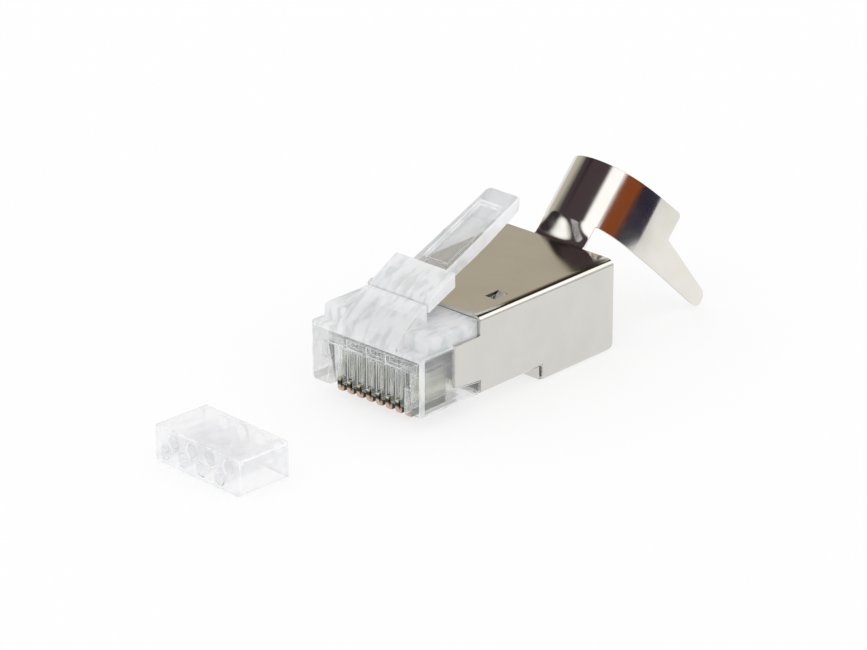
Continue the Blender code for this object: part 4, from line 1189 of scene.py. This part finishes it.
def studio_world():
    """Plain white light all round. Metal sees a studio of white and dark boards instead."""
    world = bpy.data.worlds.new("white_studio")
    bpy.context.scene.world = world
    world.use_nodes = True
    tree = world.node_tree
    tree.nodes.clear()
    place = add_node(tree, "ShaderNodeTexCoord").outputs["Generated"]
    parts = add_node(tree, "ShaderNodeSeparateXYZ", links={"Vector": place})
    # Angle round the plug's length, from 0 at -180 degrees to 1 at 180 degrees, 0.5 straight up
    turn = add_node(tree, "ShaderNodeMath", {"operation": "ARCTAN2"},
                    {0: parts.outputs["X"], 1: parts.outputs["Z"]})
    share = add_node(tree, "ShaderNodeMapRange", {"From Min": -math.pi, "From Max": math.pi},
                     {"Value": turn.outputs[0]})
    front = add_node(tree, "ShaderNodeValToRGB", {"stops": boards(FRONT_BOARDS)}, {"Fac": share.outputs[0]})
    back = add_node(tree, "ShaderNodeValToRGB", {"stops": boards(BACK_BOARDS)}, {"Fac": share.outputs[0]})
    # The boards behind the plug stand a little turned
    slant = add_node(tree, "ShaderNodeMath", {"operation": "MULTIPLY_ADD", 1: -0.35},
                     {0: parts.outputs["X"], 2: parts.outputs["Y"]})
    behind = add_node(tree, "ShaderNodeMapRange", {"From Min": 0.15, "From Max": 0.35},
                      {"Value": slant.outputs[0]})
    seen = add_node(tree, "ShaderNodeMix", {"data_type": "RGBA"},
                    {"Factor": behind.outputs[0], 6: front.outputs[0], 7: back.outputs[0]})
    path = add_node(tree, "ShaderNodeLightPath")
    shade = seen.outputs[2]
    for middle, outer, inner, code in PATCHES:
        away = add_node(tree, "ShaderNodeVectorMath", {"operation": "DISTANCE", 1: middle}, {0: place})
        near = add_node(tree, "ShaderNodeMapRange", {"From Min": outer, "From Max": inner},
                        {"Value": away.outputs["Value"]})
        shade = add_node(tree, "ShaderNodeMix", {"data_type": "RGBA", 7: (*linear(code), 1)},
                         {"Factor": near.outputs[0], 6: shade}).outputs[2]
    mirrored = add_node(tree, "ShaderNodeBackground", {"Strength": 1.5}, {"Color": shade})
    plain = add_node(tree, "ShaderNodeBackground", {"Color": (1, 1, 1, 1), "Strength": 1.0})
    # Light that came through clear plastic sees the white background, as the camera does
    surface = add_node(tree, "ShaderNodeMath", {"operation": "SUBTRACT", "use_clamp": True},
                       {0: path.outputs["Is Glossy Ray"], 1: path.outputs["Is Transmission Ray"]})
    mixed = add_node(tree, "ShaderNodeMixShader",
                     links={0: surface.outputs[0], 1: plain.outputs[0], 2: mirrored.outputs[0]})
    add_node(tree, "ShaderNodeOutputWorld", links={"Surface": mixed.outputs[0]})


def floor_board(name, outline, dark, light, strength):
    """A board lying on the floor at the right, which only the bright metal mirrors."""
    shape = bmesh.new()
    flat_face(shape, [(x * MM, y * MM, BOARD_HEIGHT * MM) for x, y in outline])
    mesh = bpy.data.meshes.new(name)
    shape.to_mesh(mesh)
    shape.free()
    made, tree = new_material(name)
    place = add_node(tree, "ShaderNodeTexCoord").outputs["Object"]
    nap = add_node(tree, "ShaderNodeTexNoise", {"Scale": per_metre(4.0)}, {"Vector": place})
    tone = add_node(tree, "ShaderNodeValToRGB", {"stops": [(0.3, linear(dark)), (0.7, linear(light))]},
                    {"Fac": nap.outputs["Fac"]})
    finish_material(tree, add_node(tree, "ShaderNodeEmission", {"Strength": strength},
                                   {"Color": tone.outputs[0]}))
    mesh.materials.append(made)
    board = bpy.data.objects.new(name, mesh)
    for ray in ("camera", "diffuse", "transmission", "shadow", "volume_scatter"):
        setattr(board, "visible_" + ray, False)
    bpy.context.scene.collection.objects.link(board)
    board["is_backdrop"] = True


class PLUG_OT_stage(bpy.types.Operator):
    """Lay the floor, light the studio and set the camera at the photograph's angle"""
    bl_idname = "plug.stage"
    bl_label = "Stage"

    def execute(self, context):
        scene = context.scene
        scene.view_settings.view_transform = "Standard"
        shape = bmesh.new()
        bmesh.ops.create_grid(shape, x_segments=2, y_segments=2, size=2.0)
        mesh = bpy.data.meshes.new("floor")
        shape.to_mesh(mesh)
        shape.free()
        mesh.materials.append(pale_floor(scene.plug_colours))
        floor = bpy.data.objects.new("floor", mesh)
        scene.collection.objects.link(floor)
        floor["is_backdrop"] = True
        studio_world()
        floor_board("navy_felt_board", NAVY_FELT, "#262134", "#322D42", 1.0)
        floor_board("white_card_board", WHITE_CARD, "#FCFAF4", "#FFFFFF", 1.2)

        lens = bpy.data.cameras.new("camera")
        lens.sensor_width = 36.0
        lens.lens = FOCAL_LENGTH * lens.sensor_width / IMAGE_WIDTH
        lens.clip_start = 0.01
        lens.clip_end = 10.0
        camera = bpy.data.objects.new("camera", lens)
        camera.location = CAMERA_PLACE
        camera.rotation_mode = "QUATERNION"
        camera.rotation_quaternion = Vector(CAMERA_AIM).to_track_quat("-Z", "Y")
        scene.collection.objects.link(camera)
        scene.camera = camera
        # Light crosses many walls of clear plastic on its way, so it may turn more often than usual
        scene.cycles.max_bounces = 40
        scene.cycles.transmission_bounces = 40
        scene.cycles.glossy_bounces = 16
        return {"FINISHED"}


STEPS = ("stage", "shield", "collar", "housing", "latch", "contacts", "load_bar")


class PLUG_PT_panel(bpy.types.Panel):
    """Sizes, colours and steps of the plug"""
    bl_idname = "PLUG_PT_panel"
    bl_label = "Ethernet Plug"
    bl_space_type = "VIEW_3D"
    bl_region_type = "UI"
    bl_category = "Ethernet Plug"

    def draw(self, context):
        layout = self.layout
        for step in STEPS:
            layout.operator("plug." + step)
        for group in GROUPS:
            box = layout.box()
            box.label(text=group[4:].replace("_", " ").capitalize())
            values = getattr(context.scene, group)
            for name in values.__annotations__:
                box.prop(values, name)


GROUPS = {
    "plug_shield": PlugShieldSizes,
    "plug_barb": PlugBarbSizes,
    "plug_collar": PlugCollarSizes,
    "plug_housing": PlugHousingSizes,
    "plug_plastic": PlugPlasticSizes,
    "plug_contact": PlugContactSizes,
    "plug_colours": PlugColours,
}
CLASSES = (*GROUPS.values(), PLUG_OT_stage, PLUG_OT_shield, PLUG_OT_collar, PLUG_OT_housing,
           PLUG_OT_latch, PLUG_OT_contacts, PLUG_OT_load_bar, PLUG_PT_panel)


def register():
    for made in CLASSES:
        bpy.utils.register_class(made)
    for name, group in GROUPS.items():
        setattr(bpy.types.Scene, name, PointerProperty(type=group))


def unregister():
    for name in GROUPS:
        delattr(bpy.types.Scene, name)
    for made in reversed(CLASSES):
        bpy.utils.unregister_class(made)


def main():
    register()
    for step in STEPS:
        getattr(bpy.ops.plug, step)()
    boxes = {"cad": [list(corner) for corner in CAD_BOX], "visual": [list(corner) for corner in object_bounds()]}


if __name__ == "__main__":
    main()
